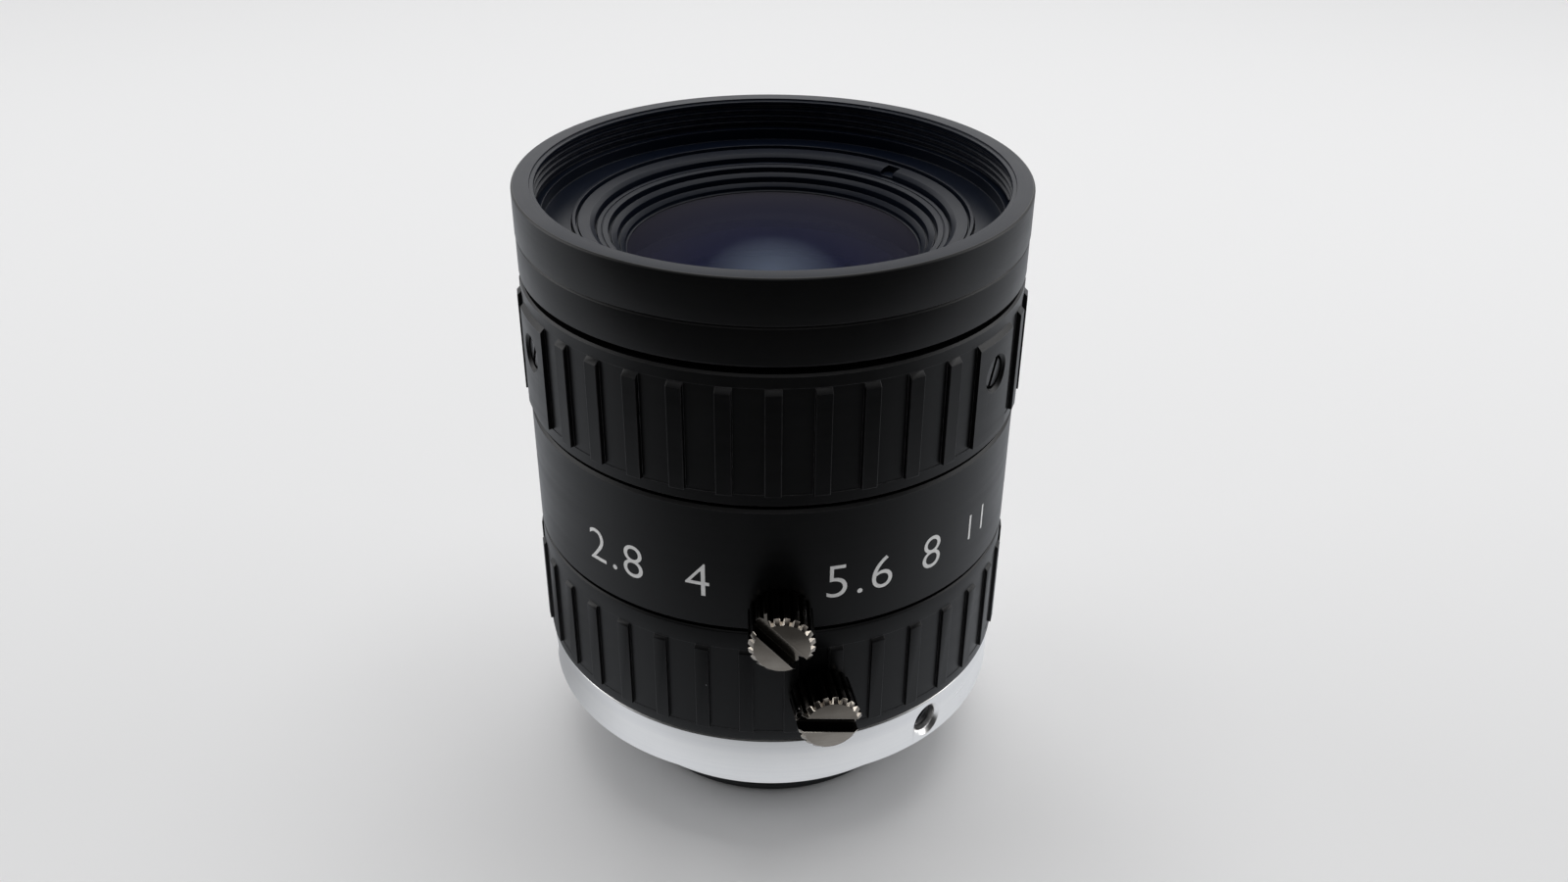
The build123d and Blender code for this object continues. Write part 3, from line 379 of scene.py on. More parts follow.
# painted shade: a darker copy of the nickel, standing in for the dark reflections on the sides of the thumb
# screws' heads
nickelPaintedShade = metalFinish("nickelPaintedShade", {  # the darker sides of the thumb screws' heads
    "colour": (0.022, 0.020, 0.018), "secondColour": (0.034, 0.031, 0.028),
    "metallic": 1.0, "roughness": 0.20, "spread": 0.04,
    "rings": 5.0, "waver": 0.6, "ringShade": 0.3, "ringColour": (0.05, 0.045, 0.04), "ringDepth": 0.0010,
    "grains": 8.0, "grainDepth": 0.0010,
    "edgeWidth": 0.04, "edgeShade": 0.35, "edgeColour": (0.60, 0.57, 0.53),
})
darkSteel = metalFinish("darkSteel", {
    "colour": (0.035, 0.035, 0.037), "secondColour": (0.06, 0.06, 0.062),
    "metallic": 0.8, "roughness": 0.33, "spread": 0.05,
    "rings": 5.0, "ringShade": 0.2, "ringColour": (0.1, 0.1, 0.1), "ringDepth": 0.001,
    "grains": 8.0, "grainDepth": 0.003,
    "edgeWidth": 0.05, "edgeShade": 0.8, "edgeColour": (0.30, 0.30, 0.31),
})
turnedBrass = metalFinish("turnedBrass", {
    "colour": (0.62, 0.46, 0.20), "secondColour": (0.55, 0.40, 0.17),
    "metallic": 1.0, "roughness": 0.28, "spread": 0.04,
    "rings": 6.0, "ringShade": 0.3, "ringColour": (0.45, 0.32, 0.13), "ringDepth": 0.002,
    "grains": 8.0, "grainDepth": 0.001,
    "edgeWidth": 0.06, "edgeShade": 0.5, "edgeColour": (0.8, 0.62, 0.33),
})
bladeSteel = metalFinish("bladeSteel", {
    "colour": (0.018, 0.018, 0.02), "secondColour": (0.026, 0.026, 0.028),
    "metallic": 0.4, "roughness": 0.42, "spread": 0.05,
    "rings": 3.0, "ringShade": 0.1, "ringColour": (0.03, 0.03, 0.03), "ringDepth": 0.0005,
    "grains": 10.0, "grainDepth": 0.002,
    "edgeWidth": 0.04, "edgeShade": 0.6, "edgeColour": (0.12, 0.12, 0.12),
})
lensEdgePaint = metalFinish("lensEdgePaint", {
    "colour": (0.0022, 0.0022, 0.0024), "secondColour": (0.0030, 0.0030, 0.0032),
    "metallic": 0.0, "specular": 0.1, "roughness": 0.6, "spread": 0.05,
    "rings": 5.0, "ringShade": 0.1, "ringColour": (0.004, 0.004, 0.004), "ringDepth": 0.0005,
    "grains": 8.0, "grainDepth": 0.002,
    "edgeWidth": 0.04, "edgeShade": 0.0, "edgeColour": (0.01, 0.01, 0.01),
})


# glass: clear, under a thin veil in the colours of its coating; the veil's colour changes outwards from a
# set point, and on the front glass it holds a painted reflection, a bright blue spot off the axis

def coatedGlass(name, look):
    material, tree, shader = newMaterial(name)
    shader.inputs["Metallic"].default_value = look["film"]
    shader.inputs["Transmission Weight"].default_value = look["clear"]
    shader.inputs["IOR"].default_value = look["index"]
    flat = flatten(tree, placeNode(tree, "TexCoord").outputs["Object"])
    away = placeNode(tree, "VectorMath", {0: flat, 1: (0, look["coatingAndReflectionCentre"] * mm, 0)},
                     operation="DISTANCE").outputs["Value"]
    grain = useGroup(tree, surfaceGrain, Grains_per_mm=1.5)
    specks = useGroup(tree, dust, Specks_per_mm=0.7, Size=0.03)
    smear = remap(tree, grain["Patches"], 0.40, 0.75, look["roughness"], look["roughness"] + look["smear"])
    rough = calc(tree, "ADD", smear, calc(tree, "MULTIPLY", specks["Mask"], 0.4))
    tree.links.new(rough, shader.inputs["Roughness"])
    near, middle, far = (stop * mm for stop in look["stops"])
    # painted reflection: the colour fades from the centre colour at the set point outwards; on the front
    # glass this is a bright blue spot off the axis
    coatingAndReflection = mixColour(tree, remap(tree, away, near, middle), look["centre"] + (1,), look["middle"] + (1,))
    coatingAndReflection = mixColour(tree, remap(tree, away, middle, far), coatingAndReflection, look["edge"] + (1,))
    tree.links.new(mixColour(tree, specks["Mask"], coatingAndReflection, (0.9, 0.9, 0.9, 1)), shader.inputs["Base Color"])
    return material


frontGlassFinish = coatedGlass("frontGlassFinish", {
    "film": 0.0, "clear": 0.88, "index": 1.012, "roughness": 0.06, "smear": 0.04,
    "coatingAndReflectionCentre": -7.6, "stops": (0.8, 5.2, 18.0),
    "centre": (0.62, 0.76, 1.0), "middle": (0.10, 0.11, 0.23), "edge": (0.25, 0.235, 0.29),
})
innerGlassFinish = coatedGlass("innerGlassFinish", {
    "film": 0.02, "clear": 0.98, "index": 1.02, "roughness": 0.08, "smear": 0.0,
    "coatingAndReflectionCentre": 0.0, "stops": (1.0, 5.0, 10.0),
    "centre": (0.24, 0.34, 1.0), "middle": (0.30, 0.40, 0.90), "edge": (0.30, 0.32, 0.60),
})


# print: filled engraving, dull white with slightly uneven cover

def printFinish(name, look):
    material, tree, shader = newMaterial(name)
    grain = useGroup(tree, surfaceGrain, Grains_per_mm=look["grains"])
    tone = remap(tree, grain["Patches"], 0.3, 0.7)
    tree.links.new(mixColour(tree, tone, look["colour"] + (1,), look["secondColour"] + (1,)),
                   shader.inputs["Base Color"])
    tree.links.new(remap(tree, grain["Height"], 0.3, 0.7, *look["roughness"]), shader.inputs["Roughness"])
    addBump(tree, shader, calc(tree, "MULTIPLY", grain["Height"], look["grainDepth"]))
    return material


whitePrint = printFinish("whitePrint", {
    "colour": (0.82, 0.82, 0.82), "secondColour": (0.92, 0.92, 0.91), "roughness": (0.45, 0.6),
    "grains": 7.0, "grainDepth": 0.004,
})
print("finishes made:", len(bpy.data.materials))


# front ring: filter thread in its mouth, a fine groove around its outside

frontRing = {
    "outline": [(15.95, 40.2), (18.88, 40.2), (19.03, 40.35), (19.03, 42.98), (18.90, 43.08), (18.90, 43.16),
                (19.07, 43.22), (19.07, 46.37), (18.94, 46.5), (17.75, 46.5), (17.75, 46.37), (17.45, 46.32),
                (17.45, 46.05), (17.72, 45.9), (17.72, 44.1), (17.10, 44.1), (17.10, 43.2),
                (14.95, 43.2), (14.95, 42.6), (15.95, 42.6)],
    "edge": 0.05, "innerRadius": 18.7, "innerHeight": 42.7,
    "pitch": 0.5, "crest": 17.48, "root": 17.76, "threadBottom": 44.2, "turns": 3.4, "stepsPerTurn": 128,
}
ridgeShape = {"width": 0.92, "crestFrom": 0.368, "crestTo": 0.552}  # shares of the pitch


def threadRidge(size):  # a closed screw ridge
    pitch, bottom = size["pitch"], size["threadBottom"]
    profile = [(size["root"], bottom), (size["crest"], bottom + pitch * ridgeShape["crestFrom"]),
               (size["crest"], bottom + pitch * ridgeShape["crestTo"]),
               (size["root"], bottom + pitch * ridgeShape["width"])]
    return spinOutline(profile, steps=int(size["turns"] * size["stepsPerTurn"]), angle=size["turns"] * tau,
                       rise=pitch / size["stepsPerTurn"])


mesh = shapeMesh("frontBarrel", spinOutline(frontRing["outline"]), edge=frontRing["edge"],
                 extra=threadRidge(frontRing))
inside = [face.center.to_2d().length < frontRing["innerRadius"] * mm
          and face.center.z > frontRing["innerHeight"] * mm for face in mesh.polygons]
addPiece("frontBarrel", mesh, blackAnodised, "optics", ["front_ring"], innerBlack, inside)
print("front barrel made")


# stepped ring around the front glass, with two spanner notches

baffle = {
    "outline": [(12.25, 40.05), (14.70, 40.05), (14.70, 43.22), (14.88, 43.22), (14.88, 43.50),
                (14.64, 43.50), (14.60, 43.00), (14.48, 43.00), (14.46, 43.28), (13.61, 43.14),
                (13.27, 42.93), (13.25, 42.35), (13.14, 42.35), (13.12, 42.57), (12.82, 42.54),
                (12.80, 42.44), (12.73, 42.44), (12.71, 42.52), (12.30, 42.44), (12.28, 41.90),
                (12.12, 41.90), (12.10, 42.08), (11.65, 41.84), (11.63, 41.30), (11.50, 41.30),
                (11.48, 41.45), (11.12, 41.19), (11.10, 40.90), (10.97, 40.83), (12.25, 40.38)],
    "edge": 0.03,
    "notchAngles": (137.0, 317.0), "notchRadius": 13.05, "notchSize": (2.4, 1.2, 1.6), "top": 43.5,
}
cutter = bmesh.new()
takeIn(cutter, boxShape(baffle["notchSize"], (baffle["notchRadius"], 0, baffle["top"])),
       [aroundAxis(angle) for angle in baffle["notchAngles"]])
mesh = shapeMesh("baffleRing", spinOutline(baffle["outline"]), cutter, baffle["edge"])
addPiece("baffleRing", mesh, innerBlack, "optics", ["front_retaining_ring"])
print("baffle ring made")


# lenses: polished front and rear, with a blackened rim

lenses = {  # radius, height of the rim's top, its depth, and the rise of the front and rear surfaces
    "frontGlass": {"node": "front_lens", "rim": (12.2, 40.33, 2.93), "rises": (2.27, 0.8)},
    "secondGlass": {"node": "second_lens", "rim": (10.1, 34.5, 3.0), "rises": (1.4, 1.1)},
    "thirdGlass": {"node": "third_lens", "rim": (10.1, 23.6, 2.19), "rises": (1.7, -1.0)},
    "fourthGlass": {"node": "fourth_lens", "rim": (10.1, 21.4, 3.5), "rises": (-1.0, 1.7)},
    "fifthGlass": {"node": "fifth_lens", "rim": (9.2, 11.3, 2.34), "rises": (-0.85, 0.7)},
    "sixthGlass": {"node": "sixth_lens", "rim": (9.2, 8.95, 2.3), "rises": (0.7, -1.0)},
    "seventhGlass": {"node": "seventh_lens", "rim": (9.2, 3.95, 2.5), "rises": (0.9, -0.6)},
}
lensShape = {"stepsOut": 28, "stepsAround": 128, "rimTilt": 0.3}  # the rim's faces tilt up by less than that


def lensCurve(rimRadius, rimHeight, rise):  # from the axis out to the rim
    curve = (rimRadius ** 2 + rise ** 2) / (2 * abs(rise))
    points = []
    for step in range(lensShape["stepsOut"] + 1):
        radius = rimRadius * sin(pi / 2 * step / lensShape["stepsOut"])
        fall = curve - sqrt(curve ** 2 - radius ** 2)
        points.append((radius, rimHeight + rise - (fall if rise > 0 else -fall)))
    return points


for name, lens in lenses.items():
    radius, top, depth = lens["rim"]
    front = lensCurve(radius, top, lens["rises"][0])
    rear = lensCurve(radius, top - depth, lens["rises"][1])
    mesh = shapeMesh(name, spinOutline(front + rear[::-1], steps=lensShape["stepsAround"]))
    onRim = [abs(face.normal.z) < lensShape["rimTilt"] for face in mesh.polygons]
    addPiece(name, mesh, frontGlassFinish if name == "frontGlass" else innerGlassFinish, "optics",
             [lens["node"]], lensEdgePaint, onRim)
print("lenses made")


# the two ribbed grip rings

gripStep = 10.0  # degrees from rib to rib
focusRing = {
    "outline": [(16.75, 29.5), (18.85, 29.5), (19.00, 29.65), (19.00, 30.5), (18.96, 30.5),
                (18.96, 38.7), (19.00, 38.7), (19.00, 39.55), (18.85, 39.7), (16.75, 39.7)],
    "rib": [(18.2, 30.5), (19.3, 30.5), (19.3, 38.32), (18.92, 38.7), (18.2, 38.7)],
    "ribWidth": 1.14, "firstRib": 0.8, "pads": (55.8, 175.8, 295.8), "padDegrees": 14.4, "padSteps": 8,
    "screwHeight": 35.7, "holeRadius": 1.25, "sinkRadius": 1.5, "holeDepth": 3.5, "face": 19.3,
    "edge": 0.045,
}
irisRing = {
    "outline": [(16.43, 8.3), (18.83, 8.3), (18.96, 8.43), (18.96, 9.3), (18.93, 9.3),
                (18.93, 17.0), (18.96, 17.0), (18.96, 18.47), (18.83, 18.6), (16.43, 18.6)],
    "rib": [(18.2, 9.3), (19.18, 9.3), (19.18, 16.76), (18.94, 17.0), (18.2, 17.0)],
    "ribWidth": 1.05, "firstRib": 5.0, "edge": 0.035, "face": 19.2, "holeDepth": 3.0,
    "holes": [(1.05, 11.4, 13.15), (0.75, 180.0, 11.2)],  # radius, angle and height: thumb screw, drive pin
}


def ribSet(ring, angles):  # every rib is its own small solid, rooted in the ring
    rib = extrudeOutline(ring["rib"], ring["ribWidth"])
    sharp = [edge for edge in rib.edges if edge.calc_face_angle(0) > radians(shaping["creaseAbove"])]
    bmesh.ops.bevel(rib, geom=sharp, offset=ring["edge"] * mm, offset_type="OFFSET",
                    segments=shaping["bevelSegments"], profile=0.5, affect="EDGES", material=-1,
                    clamp_overlap=True)
    ribs = bmesh.new()
    takeIn(ribs, rib, [aroundAxis(angle) for angle in angles])
    return ribs


def holeTool(radius, depth, sinkRadius):  # a drill with a 45 degree countersink, its face at z = 0
    above = 1.0
    return spinOutline([(0, -depth), (radius, -depth), (radius, radius - sinkRadius), (sinkRadius, 0.0),
                        (sinkRadius, above), (0, above)], steps=48)


everyRib = [gripStep * place for place in range(round(360 / gripStep))]
focusRibs = [focusRing["firstRib"] + angle for angle in everyRib]
focusRibs = [angle for angle in focusRibs if all(abs(angle - pad) > gripStep for pad in focusRing["pads"])]
body = spinOutline(focusRing["outline"])
takeIn(body, spinOutline(focusRing["rib"], focusRing["padSteps"], radians(focusRing["padDegrees"])),
       [aroundAxis(angle - focusRing["padDegrees"] / 2) for angle in focusRing["pads"]])
cutter = bmesh.new()
takeIn(cutter, holeTool(focusRing["holeRadius"], focusRing["holeDepth"], focusRing["sinkRadius"]),
       [outwards(angle, focusRing["face"], focusRing["screwHeight"]) for angle in focusRing["pads"]])
mesh = shapeMesh("focusRing", body, cutter, focusRing["edge"], ribSet(focusRing, focusRibs), unite=True)
addPiece("focusGrip", mesh, blackAnodised, "focus", ["focus_ring"])

cutter = bmesh.new()
for radius, angle, height in irisRing["holes"]:
    takeIn(cutter, holeTool(radius, irisRing["holeDepth"], radius),
           [outwards(angle, irisRing["face"], height)])
mesh = shapeMesh("irisRing", spinOutline(irisRing["outline"]), cutter, irisRing["edge"],
                 ribSet(irisRing, [irisRing["firstRib"] + angle for angle in everyRib]))
addPiece("irisGrip", mesh, blackAnodised, "iris", ["iris_ring"])
print("grip rings made")


# mount ring and threaded spigot

mountRing = {
    "outline": [(12.72, 0), (15.0, 0), (15.0, 4.0), (18.5, 4.0), (18.8, 4.3), (18.8, 8.05),
                (18.65, 8.2), (16.4, 8.2), (16.4, 4.8), (12.72, 4.8)],
    "edge": 0.05, "holes": (42.0, 162.0, 282.0), "holeHeight": 6.1, "holeRadius": 1.15, "holeDepth": 2.6,
    "sinkRadius": 1.5, "face": 18.8,
}
spigot = {
    "outline": [(10.8, -3.5), (12.1, -3.5), (12.25, -3.35), (12.25, -0.1), (12.3, 0.0), (12.3, 4.8),
                (16.35, 4.8), (16.35, 5.8), (10.8, 5.8)],
    "edge": 0.04, "pitch": 0.794, "crest": 12.7, "root": 12.2, "threadBottom": -3.46, "turns": 3.3,
    "stepsPerTurn": 96,
}
cutter = bmesh.new()
takeIn(cutter, holeTool(mountRing["holeRadius"], mountRing["holeDepth"], mountRing["sinkRadius"]),
       [outwards(angle, mountRing["face"], mountRing["holeHeight"]) for angle in mountRing["holes"]])
mesh = shapeMesh("mountRing", spinOutline(mountRing["outline"]), cutter, mountRing["edge"])
addPiece("mountBand", mesh, brightAluminium, "barrel", ["mount_ring"])
mesh = shapeMesh("mountThread", spinOutline(spigot["outline"]), edge=spigot["edge"],
                 extra=threadRidge(spigot))
addPiece("mountThread", mesh, blackAnodised, "barrel", ["rear_spigot"])
print("mount made")


# main barrel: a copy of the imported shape, its number band brought level with the rings

numberBand = {"from": 18.2, "wider": 0.43}
band = bmesh.new()
band.from_mesh(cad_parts["main_barrel"].data)
bmesh.ops.remove_doubles(band, verts=band.verts, dist=shaping["weld"])
for corner in band.verts:
    reach = corner.co.to_2d().length
    if reach > numberBand["from"] * mm:
        grown = 1 + numberBand["wider"] * mm / reach
        corner.co.x *= grown
        corner.co.y *= grown
mesh = shapeMesh("numberBand", band)
addPiece("numberBand", mesh, blackAnodised, "barrel", ["main_barrel"])
print("number band made")


# thumb screws with a knurled, slotted head

thumbScrew = {
    "headRadius": 2.35, "valleyRadius": 2.02, "faceRadius": 2.0, "backRadius": 2.15, "faceChamfer": 0.35,
    "backChamfer": 0.2, "teeth": 20, "pointsPerTooth": 4, "slotWidth": 1.25, "slotDepth": 1.2,
    "slotLength": 8.0, "shankRadius": 1.0, "shankChamfer": 0.1, "face": 23.0, "edge": 0.035,
    "sideTilt": 0.5,  # faces that point along the screw by less than this are the head's dark sides
}
thumbScrews = {
    "focusThumbScrew": {"angle": 2.4, "height": 20.55, "back": 19.06, "tip": 17.11, "slot": -49.0,
                        "body": "focus_lock", "node": "focus_lock_screw"},
    "irisThumbScrew": {"angle": 11.4, "height": 13.15, "back": 19.2, "tip": 16.43, "slot": -10.0,
                       "body": "iris_lock", "node": "iris_lock_screw"},
}


def knurledHead(size, length):  # stands on z = 0, its slotted face at z = length
    bm = bmesh.new()
    levels = [(0.0, size["backRadius"], size["valleyRadius"]),
              (size["backChamfer"], size["headRadius"], size["valleyRadius"]),
              (length - size["faceChamfer"], size["headRadius"], size["valleyRadius"]),
              (length, size["faceRadius"], size["faceRadius"])]
    loops = []
    for height, crest, valley in levels:
        ring = bmesh.ops.create_circle(bm, segments=size["teeth"] * size["pointsPerTooth"],
                                       radius=crest * mm, cap_ends=False)["verts"]
        for place, corner in enumerate(ring):
            if place % size["pointsPerTooth"] == 0:
                corner.co *= valley / crest
            corner.co.z = height * mm
        loops.append(list({edge for corner in ring for edge in corner.link_edges}))
    for lower, upper in zip(loops, loops[1:]):
        bmesh.ops.bridge_loops(bm, edges=lower + upper)
    return closeUp(bm)


for name, screw in thumbScrews.items():
    length = thumbScrew["face"] - screw["back"]
    depth = screw["back"] - screw["tip"]
    groove = boxShape((thumbScrew["slotLength"], thumbScrew["slotWidth"], 2 * thumbScrew["slotDepth"]),
                      (0, 0, length))
    groove.transform(Matrix.Rotation(radians(screw["slot"]), 4, "Z"))
    chamfer = thumbScrew["shankChamfer"]
    shank = spinOutline([(0, -depth), (thumbScrew["shankRadius"] - chamfer, -depth),
                         (thumbScrew["shankRadius"], chamfer - depth), (thumbScrew["shankRadius"], chamfer),
                         (0, chamfer)], steps=48)
    mesh = shapeMesh(name, knurledHead(thumbScrew, length), groove, thumbScrew["edge"], shank)
    # painted shade: the sides of each head get the darker copy of the nickel
    paintedShadeSides = [abs(face.normal.z) < thumbScrew["sideTilt"]
              and face.center.z < (length - thumbScrew["faceChamfer"]) * mm for face in mesh.polygons]
    mesh.transform(outwards(screw["angle"], screw["back"], screw["height"]))
    addPiece(name, mesh, nickelPlate, screw["body"], [screw["node"]], nickelPaintedShade, paintedShadeSides)
print("thumb screws made")


# slotted grub screws in the focus ring and the mount ring

grubScrews = {
    "focusGrubScrews": {"radius": 1.2, "outer": 19.0, "inner": 16.8, "height": 35.7,
                        "angles": (55.8, 175.8, 295.8), "slotTurns": (65.0, 65.0, 65.0),
                        "body": "focus", "node": "focus_set_screws"},
    "mountGrubScrews": {"radius": 1.1, "outer": 18.0, "inner": 16.42, "height": 6.1,
                        "angles": (42.0, 162.0, 282.0), "slotTurns": (42.0, 162.0, 282.0),
                        "body": "barrel", "node": "mount_set_screws"},
}
grubShape = {"slotLength": 4.0, "slotWidth": 0.45, "slotDepth": 0.6, "chamfer": 0.15, "edge": 0.03}
for name, screw in grubScrews.items():
    body, cutter = bmesh.new(), bmesh.new()
    radius, chamfer, drop = screw["radius"], grubShape["chamfer"], screw["inner"] - screw["outer"]
    places = [outwards(angle, screw["outer"], screw["height"]) for angle in screw["angles"]]
    takeIn(body, spinOutline([(0, drop), (radius, drop), (radius, -chamfer), (radius - chamfer, 0), (0, 0)],
                             steps=48), places)
    places = [outwards(angle, screw["outer"], screw["height"], turn)
              for angle, turn in zip(screw["angles"], screw["slotTurns"])]
    takeIn(cutter, boxShape((grubShape["slotLength"], grubShape["slotWidth"], 2 * grubShape["slotDepth"])),
           places)
    mesh = shapeMesh(name, body, cutter, grubShape["edge"])
    addPiece(name, mesh, darkSteel, screw["body"], [screw["node"]])
print("grub screws made")


# plain white scale numbers around the band

scaleNumbers = {
    "radius": 18.99, "proud": 0.012, "depth": 0.02, "thinner": 0.045,
    "fontScale": 1.37, "spacing": 1.12, "roundness": 6,
    "cutStep": 0.3, "cuts": 20,  # enough cuts each way for the strokes to follow the band
    "marks": [("2.8", -36.5, 22.75, 3.0), ("4", -15.5, 22.75, 3.0), ("5.6", 20.0, 22.75, 3.0),
              ("8", 38.5, 22.9, 3.0), ("11", 54.5, 23.0, 2.4), ("16", 84.0, 22.9, 2.4),
              ("22", 104.0, 22.9, 2.4)],  # text, angle, height and size
}


def flatMark(words, size):
    curve = bpy.data.curves.new("mark", "FONT")
    curve.body = words
    curve.size = size * scaleNumbers["fontScale"] * mm
    curve.space_character = scaleNumbers["spacing"]
    curve.align_x = "CENTER"
    curve.align_y = "CENTER"
    curve.extrude = (scaleNumbers["proud"] + scaleNumbers["depth"]) * mm / 2
    curve.resolution_u = scaleNumbers["roundness"]
    curve.offset = -scaleNumbers["thinner"] * mm
    made = bpy.data.objects.new("mark", curve)
    scene.collection.objects.link(made)
    flat = bakedMesh(made)
    bpy.data.objects.remove(made)
    mark = bmesh.new()
    mark.from_mesh(flat)
    bpy.data.meshes.remove(flat)
    bmesh.ops.remove_doubles(mark, verts=mark.verts, dist=shaping["weld"])
    for cut in range(-scaleNumbers["cuts"], scaleNumbers["cuts"] + 1):
        bmesh.ops.bisect_plane(mark, geom=mark.verts[:] + mark.edges[:] + mark.faces[:], dist=1e-8,
                               plane_co=(cut * scaleNumbers["cutStep"] * mm, 0, 0), plane_no=(1, 0, 0))
    return mark


numbers = bmesh.new()
middle = (scaleNumbers["radius"] + (scaleNumbers["proud"] - scaleNumbers["depth"]) / 2) * mm
for words, angle, height, size in scaleNumbers["marks"]:
    mark = flatMark(words, size)
    for corner in mark.verts:  # wraps the flat mark around the band
        turn = radians(angle) + corner.co.x / middle
        reach = middle + corner.co.z
        corner.co = (reach * sin(turn), -reach * cos(turn), height * mm + corner.co.y)
    takeIn(numbers, mark)
addPiece("scaleNumbers", shapeMesh("scaleNumbers", numbers), whitePrint, "barrel")
print("scale numbers made")


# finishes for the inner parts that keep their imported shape

innerFinishes = [
    (innerBlack, ["optics_barrel", "front_spacer", "middle_spacer", "rear_cell", "rear_spacer",
                  "rear_retaining_ring", "iris_retaining_ring", "iris_cam_ring", "iris_base_plate",
                  "sleeve_retaining_ring"]),
    (turnedBrass, ["focus_sleeve"]),
    (darkSteel, ["guide_screws", "iris_drive_pin"]),
    (bladeSteel, [f"iris_blade_{place}" for place in range(1, 6)]),
]
for finish, names in innerFinishes:
    for name in names:
        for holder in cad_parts[name].material_slots:
            holder.material = finish
print("inner parts finished")


# floor: pale paper that also shows in reflections, with painted shade there: dark on the near side, and
# painted shadows around the foot and to its left

floorLook = {
    "size": 4.0, "parts": 8, "height": -3.5, "colour": (0.83, 0.83, 0.835), "roughness": 0.9,
    "glowColour": (0.83, 0.83, 0.84), "mirrorColour": (0.80, 0.83, 0.88),
    "glow": 0.14, "glowFrom": (0.012, 0.022), "farGlow": (0.22, 0.60, 0.0, 0.95),  # seen by the camera
    "mirrorShare": 0.9, "nearSideShade": (-0.065, -0.022, 0.03, 0.85),  # seen in reflections
    "footShade": (0.012, 0.019, 0.30, 1.0),
    "leftShadowPlace": (-0.030, 0.003, 0.0), "leftShade": (0.006, 0.022, 0.42, 1.0),
}
floorShape = bmesh.new()
bmesh.ops.create_grid(floorShape, x_segments=floorLook["parts"], y_segments=floorLook["parts"],
                      size=floorLook["size"] / 2)
bmesh.ops.translate(floorShape, verts=floorShape.verts, vec=(0, 0, floorLook["height"] * mm))
floor = workObject("floor", floorShape)
paper, tree, shader = newMaterial("paper")
shader.inputs["Base Color"].default_value = floorLook["colour"] + (1,)
shader.inputs["Roughness"].default_value = floorLook["roughness"]
shader.inputs["Specular IOR Level"].default_value = 0.0
rays = placeNode(tree, "LightPath").outputs
spot = placeNode(tree, "TexCoord").outputs["Object"]
split = placeNode(tree, "SeparateXYZ", {0: spot})
flat = flatten(tree, spot)
fromAxis = placeNode(tree, "VectorMath", {0: flat}, operation="LENGTH").outputs["Value"]
fromLeft = placeNode(tree, "VectorMath", {0: flat, 1: floorLook["leftShadowPlace"]},
                     operation="DISTANCE").outputs["Value"]
# painted shade and shadows: the floor seen in reflections is darker towards the near side, around the foot
# and to the left of it
shade = remap(tree, split.outputs["Y"], *floorLook["nearSideShade"])
shade = calc(tree, "MULTIPLY", shade, remap(tree, fromAxis, *floorLook["footShade"]))
shade = calc(tree, "MULTIPLY", shade, remap(tree, fromLeft, *floorLook["leftShade"]))
glow = placeNode(tree, "Emission", {"Color": floorLook["glowColour"] + (1,), "Strength": 1.0})
mirrored = placeNode(tree, "Emission", {"Color": floorLook["mirrorColour"] + (1,), "Strength": shade})
glowShare = calc(tree, "MULTIPLY", remap(tree, fromAxis, *floorLook["glowFrom"]), floorLook["glow"])
glowShare = calc(tree, "MAXIMUM", glowShare, remap(tree, fromAxis, *floorLook["farGlow"]))  # no dark horizon
blend = placeNode(tree, "MixShader", {0: calc(tree, "MULTIPLY", rays["Is Camera Ray"], glowShare),
                                      1: shader.outputs[0], 2: glow.outputs[0]})
bounced = calc(tree, "ADD", rays["Is Glossy Ray"], rays["Is Transmission Ray"], clamp=True)
blend = placeNode(tree, "MixShader", {0: calc(tree, "MULTIPLY", bounced, floorLook["mirrorShare"]),
                                      1: blend.outputs[0], 2: mirrored.outputs[0]})
tree.links.new(blend.outputs[0], tree.nodes["Material Output"].inputs["Surface"])
floor.data.materials.append(paper)


# world: a pale backdrop for the camera, a shaded one in reflections, and a plain fill for the rest

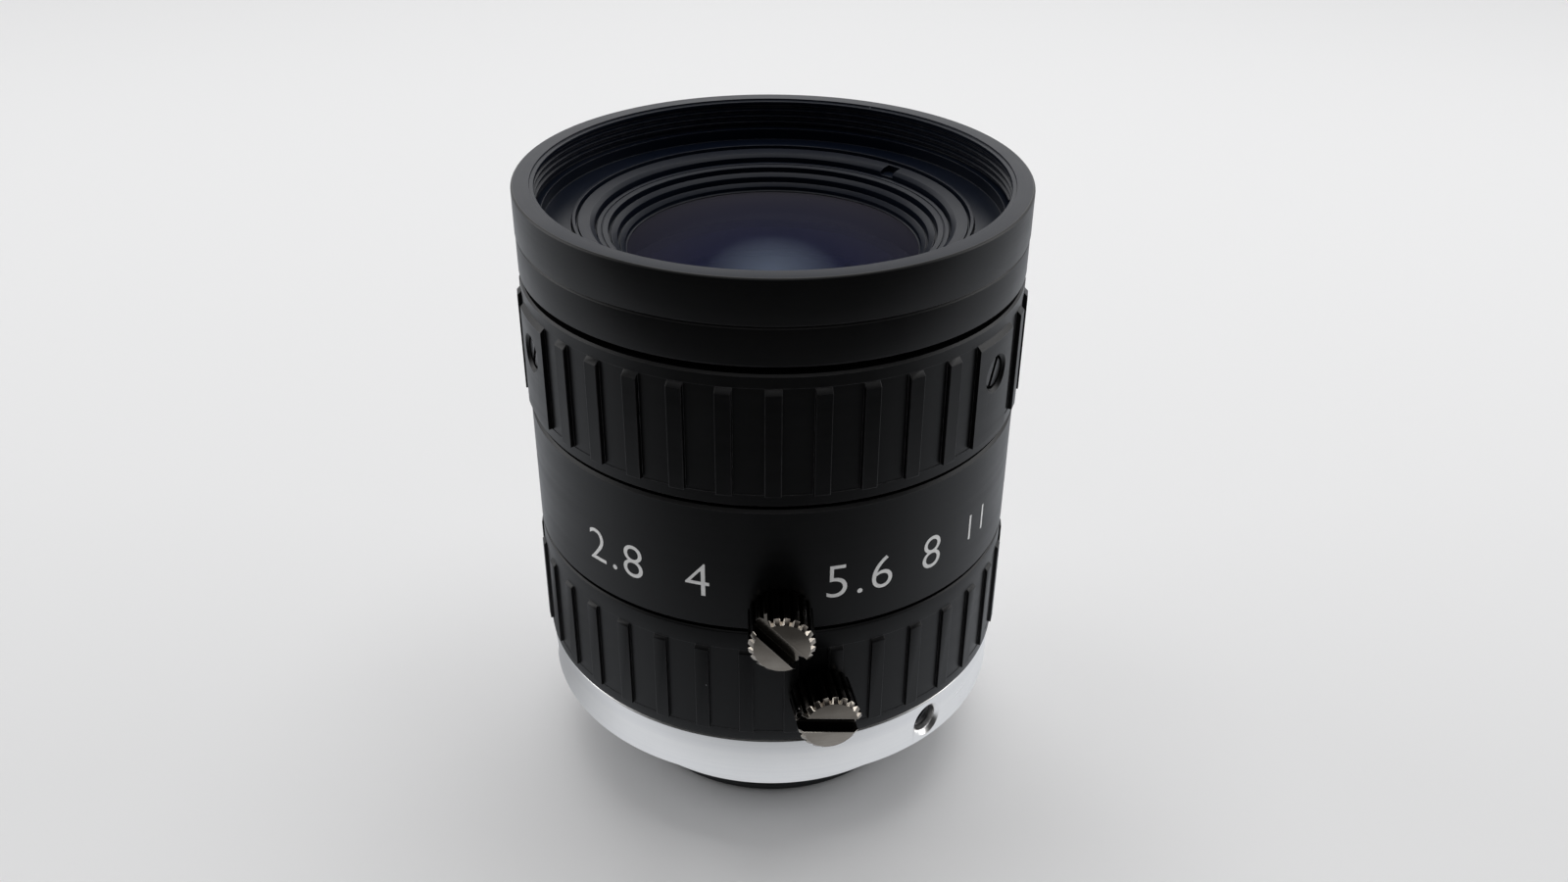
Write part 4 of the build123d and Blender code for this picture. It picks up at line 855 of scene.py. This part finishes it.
worldLook = {
    "colour": (0.83, 0.83, 0.84), "fill": 0.15,
    "nearSky": (-0.45, 0.25, 0.03, 1.0), "highSky": (0.72, 0.88, 0.0, 0.9),
}
world = bpy.data.worlds.new("studio")
scene.world = world
world.use_nodes = True
tree = world.node_tree
tree.nodes.clear()
rays = placeNode(tree, "LightPath").outputs
shown = calc(tree, "ADD", calc(tree, "ADD", rays["Is Camera Ray"], rays["Is Glossy Ray"]),
             rays["Is Transmission Ray"], clamp=True)
split = placeNode(tree, "SeparateXYZ", {0: placeNode(tree, "TexCoord").outputs["Generated"]})
shade = calc(tree, "MAXIMUM", remap(tree, split.outputs["Y"], *worldLook["nearSky"]),
             remap(tree, split.outputs["Z"], *worldLook["highSky"]))
strength = calc(tree, "MAXIMUM", shade, rays["Is Camera Ray"])
backdrop = placeNode(tree, "Background", {"Color": worldLook["colour"] + (1,), "Strength": strength})
fill = placeNode(tree, "Background", {"Color": (1, 1, 1, 1), "Strength": worldLook["fill"]})
both = placeNode(tree, "MixShader", {0: shown, 1: fill.outputs[0], 2: backdrop.outputs[0]})
placeNode(tree, "OutputWorld", {"Surface": both.outputs[0]})


# lamps and camera, in metres

lampAim = Vector((0, 0, 0.02))
lamps = {
    "overhead": {"place": (0.02, 0.10, 0.42), "size": (0.40, 0.34), "power": 1.15},
    "behind": {"place": (0.0, 0.45, 0.30), "size": (0.60, 0.26), "power": 0.75},
    "leftSide": {"place": (-0.40, 0.08, 0.18), "size": (0.30, 0.30), "power": 0.5},
    "rightSide": {"place": (0.40, 0.08, 0.18), "size": (0.30, 0.30), "power": 0.5},
}
for name, lamp in lamps.items():
    data = bpy.data.lights.new(name, "AREA")
    data.shape = "RECTANGLE"
    data.size, data.size_y = lamp["size"]
    data.energy = lamp["power"]
    made = bpy.data.objects.new(name, data)
    made.location = lamp["place"]
    made.rotation_euler = (lampAim - Vector(lamp["place"])).to_track_quat("-Z", "Y").to_euler()
    scene.collection.objects.link(made)

view = {"place": (0.000966, -0.098349, 0.082199), "down": 30.8426, "roll": 0.532, "lens": 32.115,
        "sensor": 36.0, "nearest": 0.005}
cameraData = bpy.data.cameras.new("camera")
cameraData.lens = view["lens"]
cameraData.sensor_width = view["sensor"]
cameraData.clip_start = view["nearest"]
camera = bpy.data.objects.new("camera", cameraData)
tilted = Matrix.Rotation(radians(90 - view["down"]), 4, "X") @ Matrix.Rotation(radians(view["roll"]), 4, "Z")
camera.matrix_world = Matrix.Translation(view["place"]) @ tilted
scene.collection.objects.link(camera)
scene.camera = camera
scene.view_settings.view_transform = "Standard"
print("studio made")
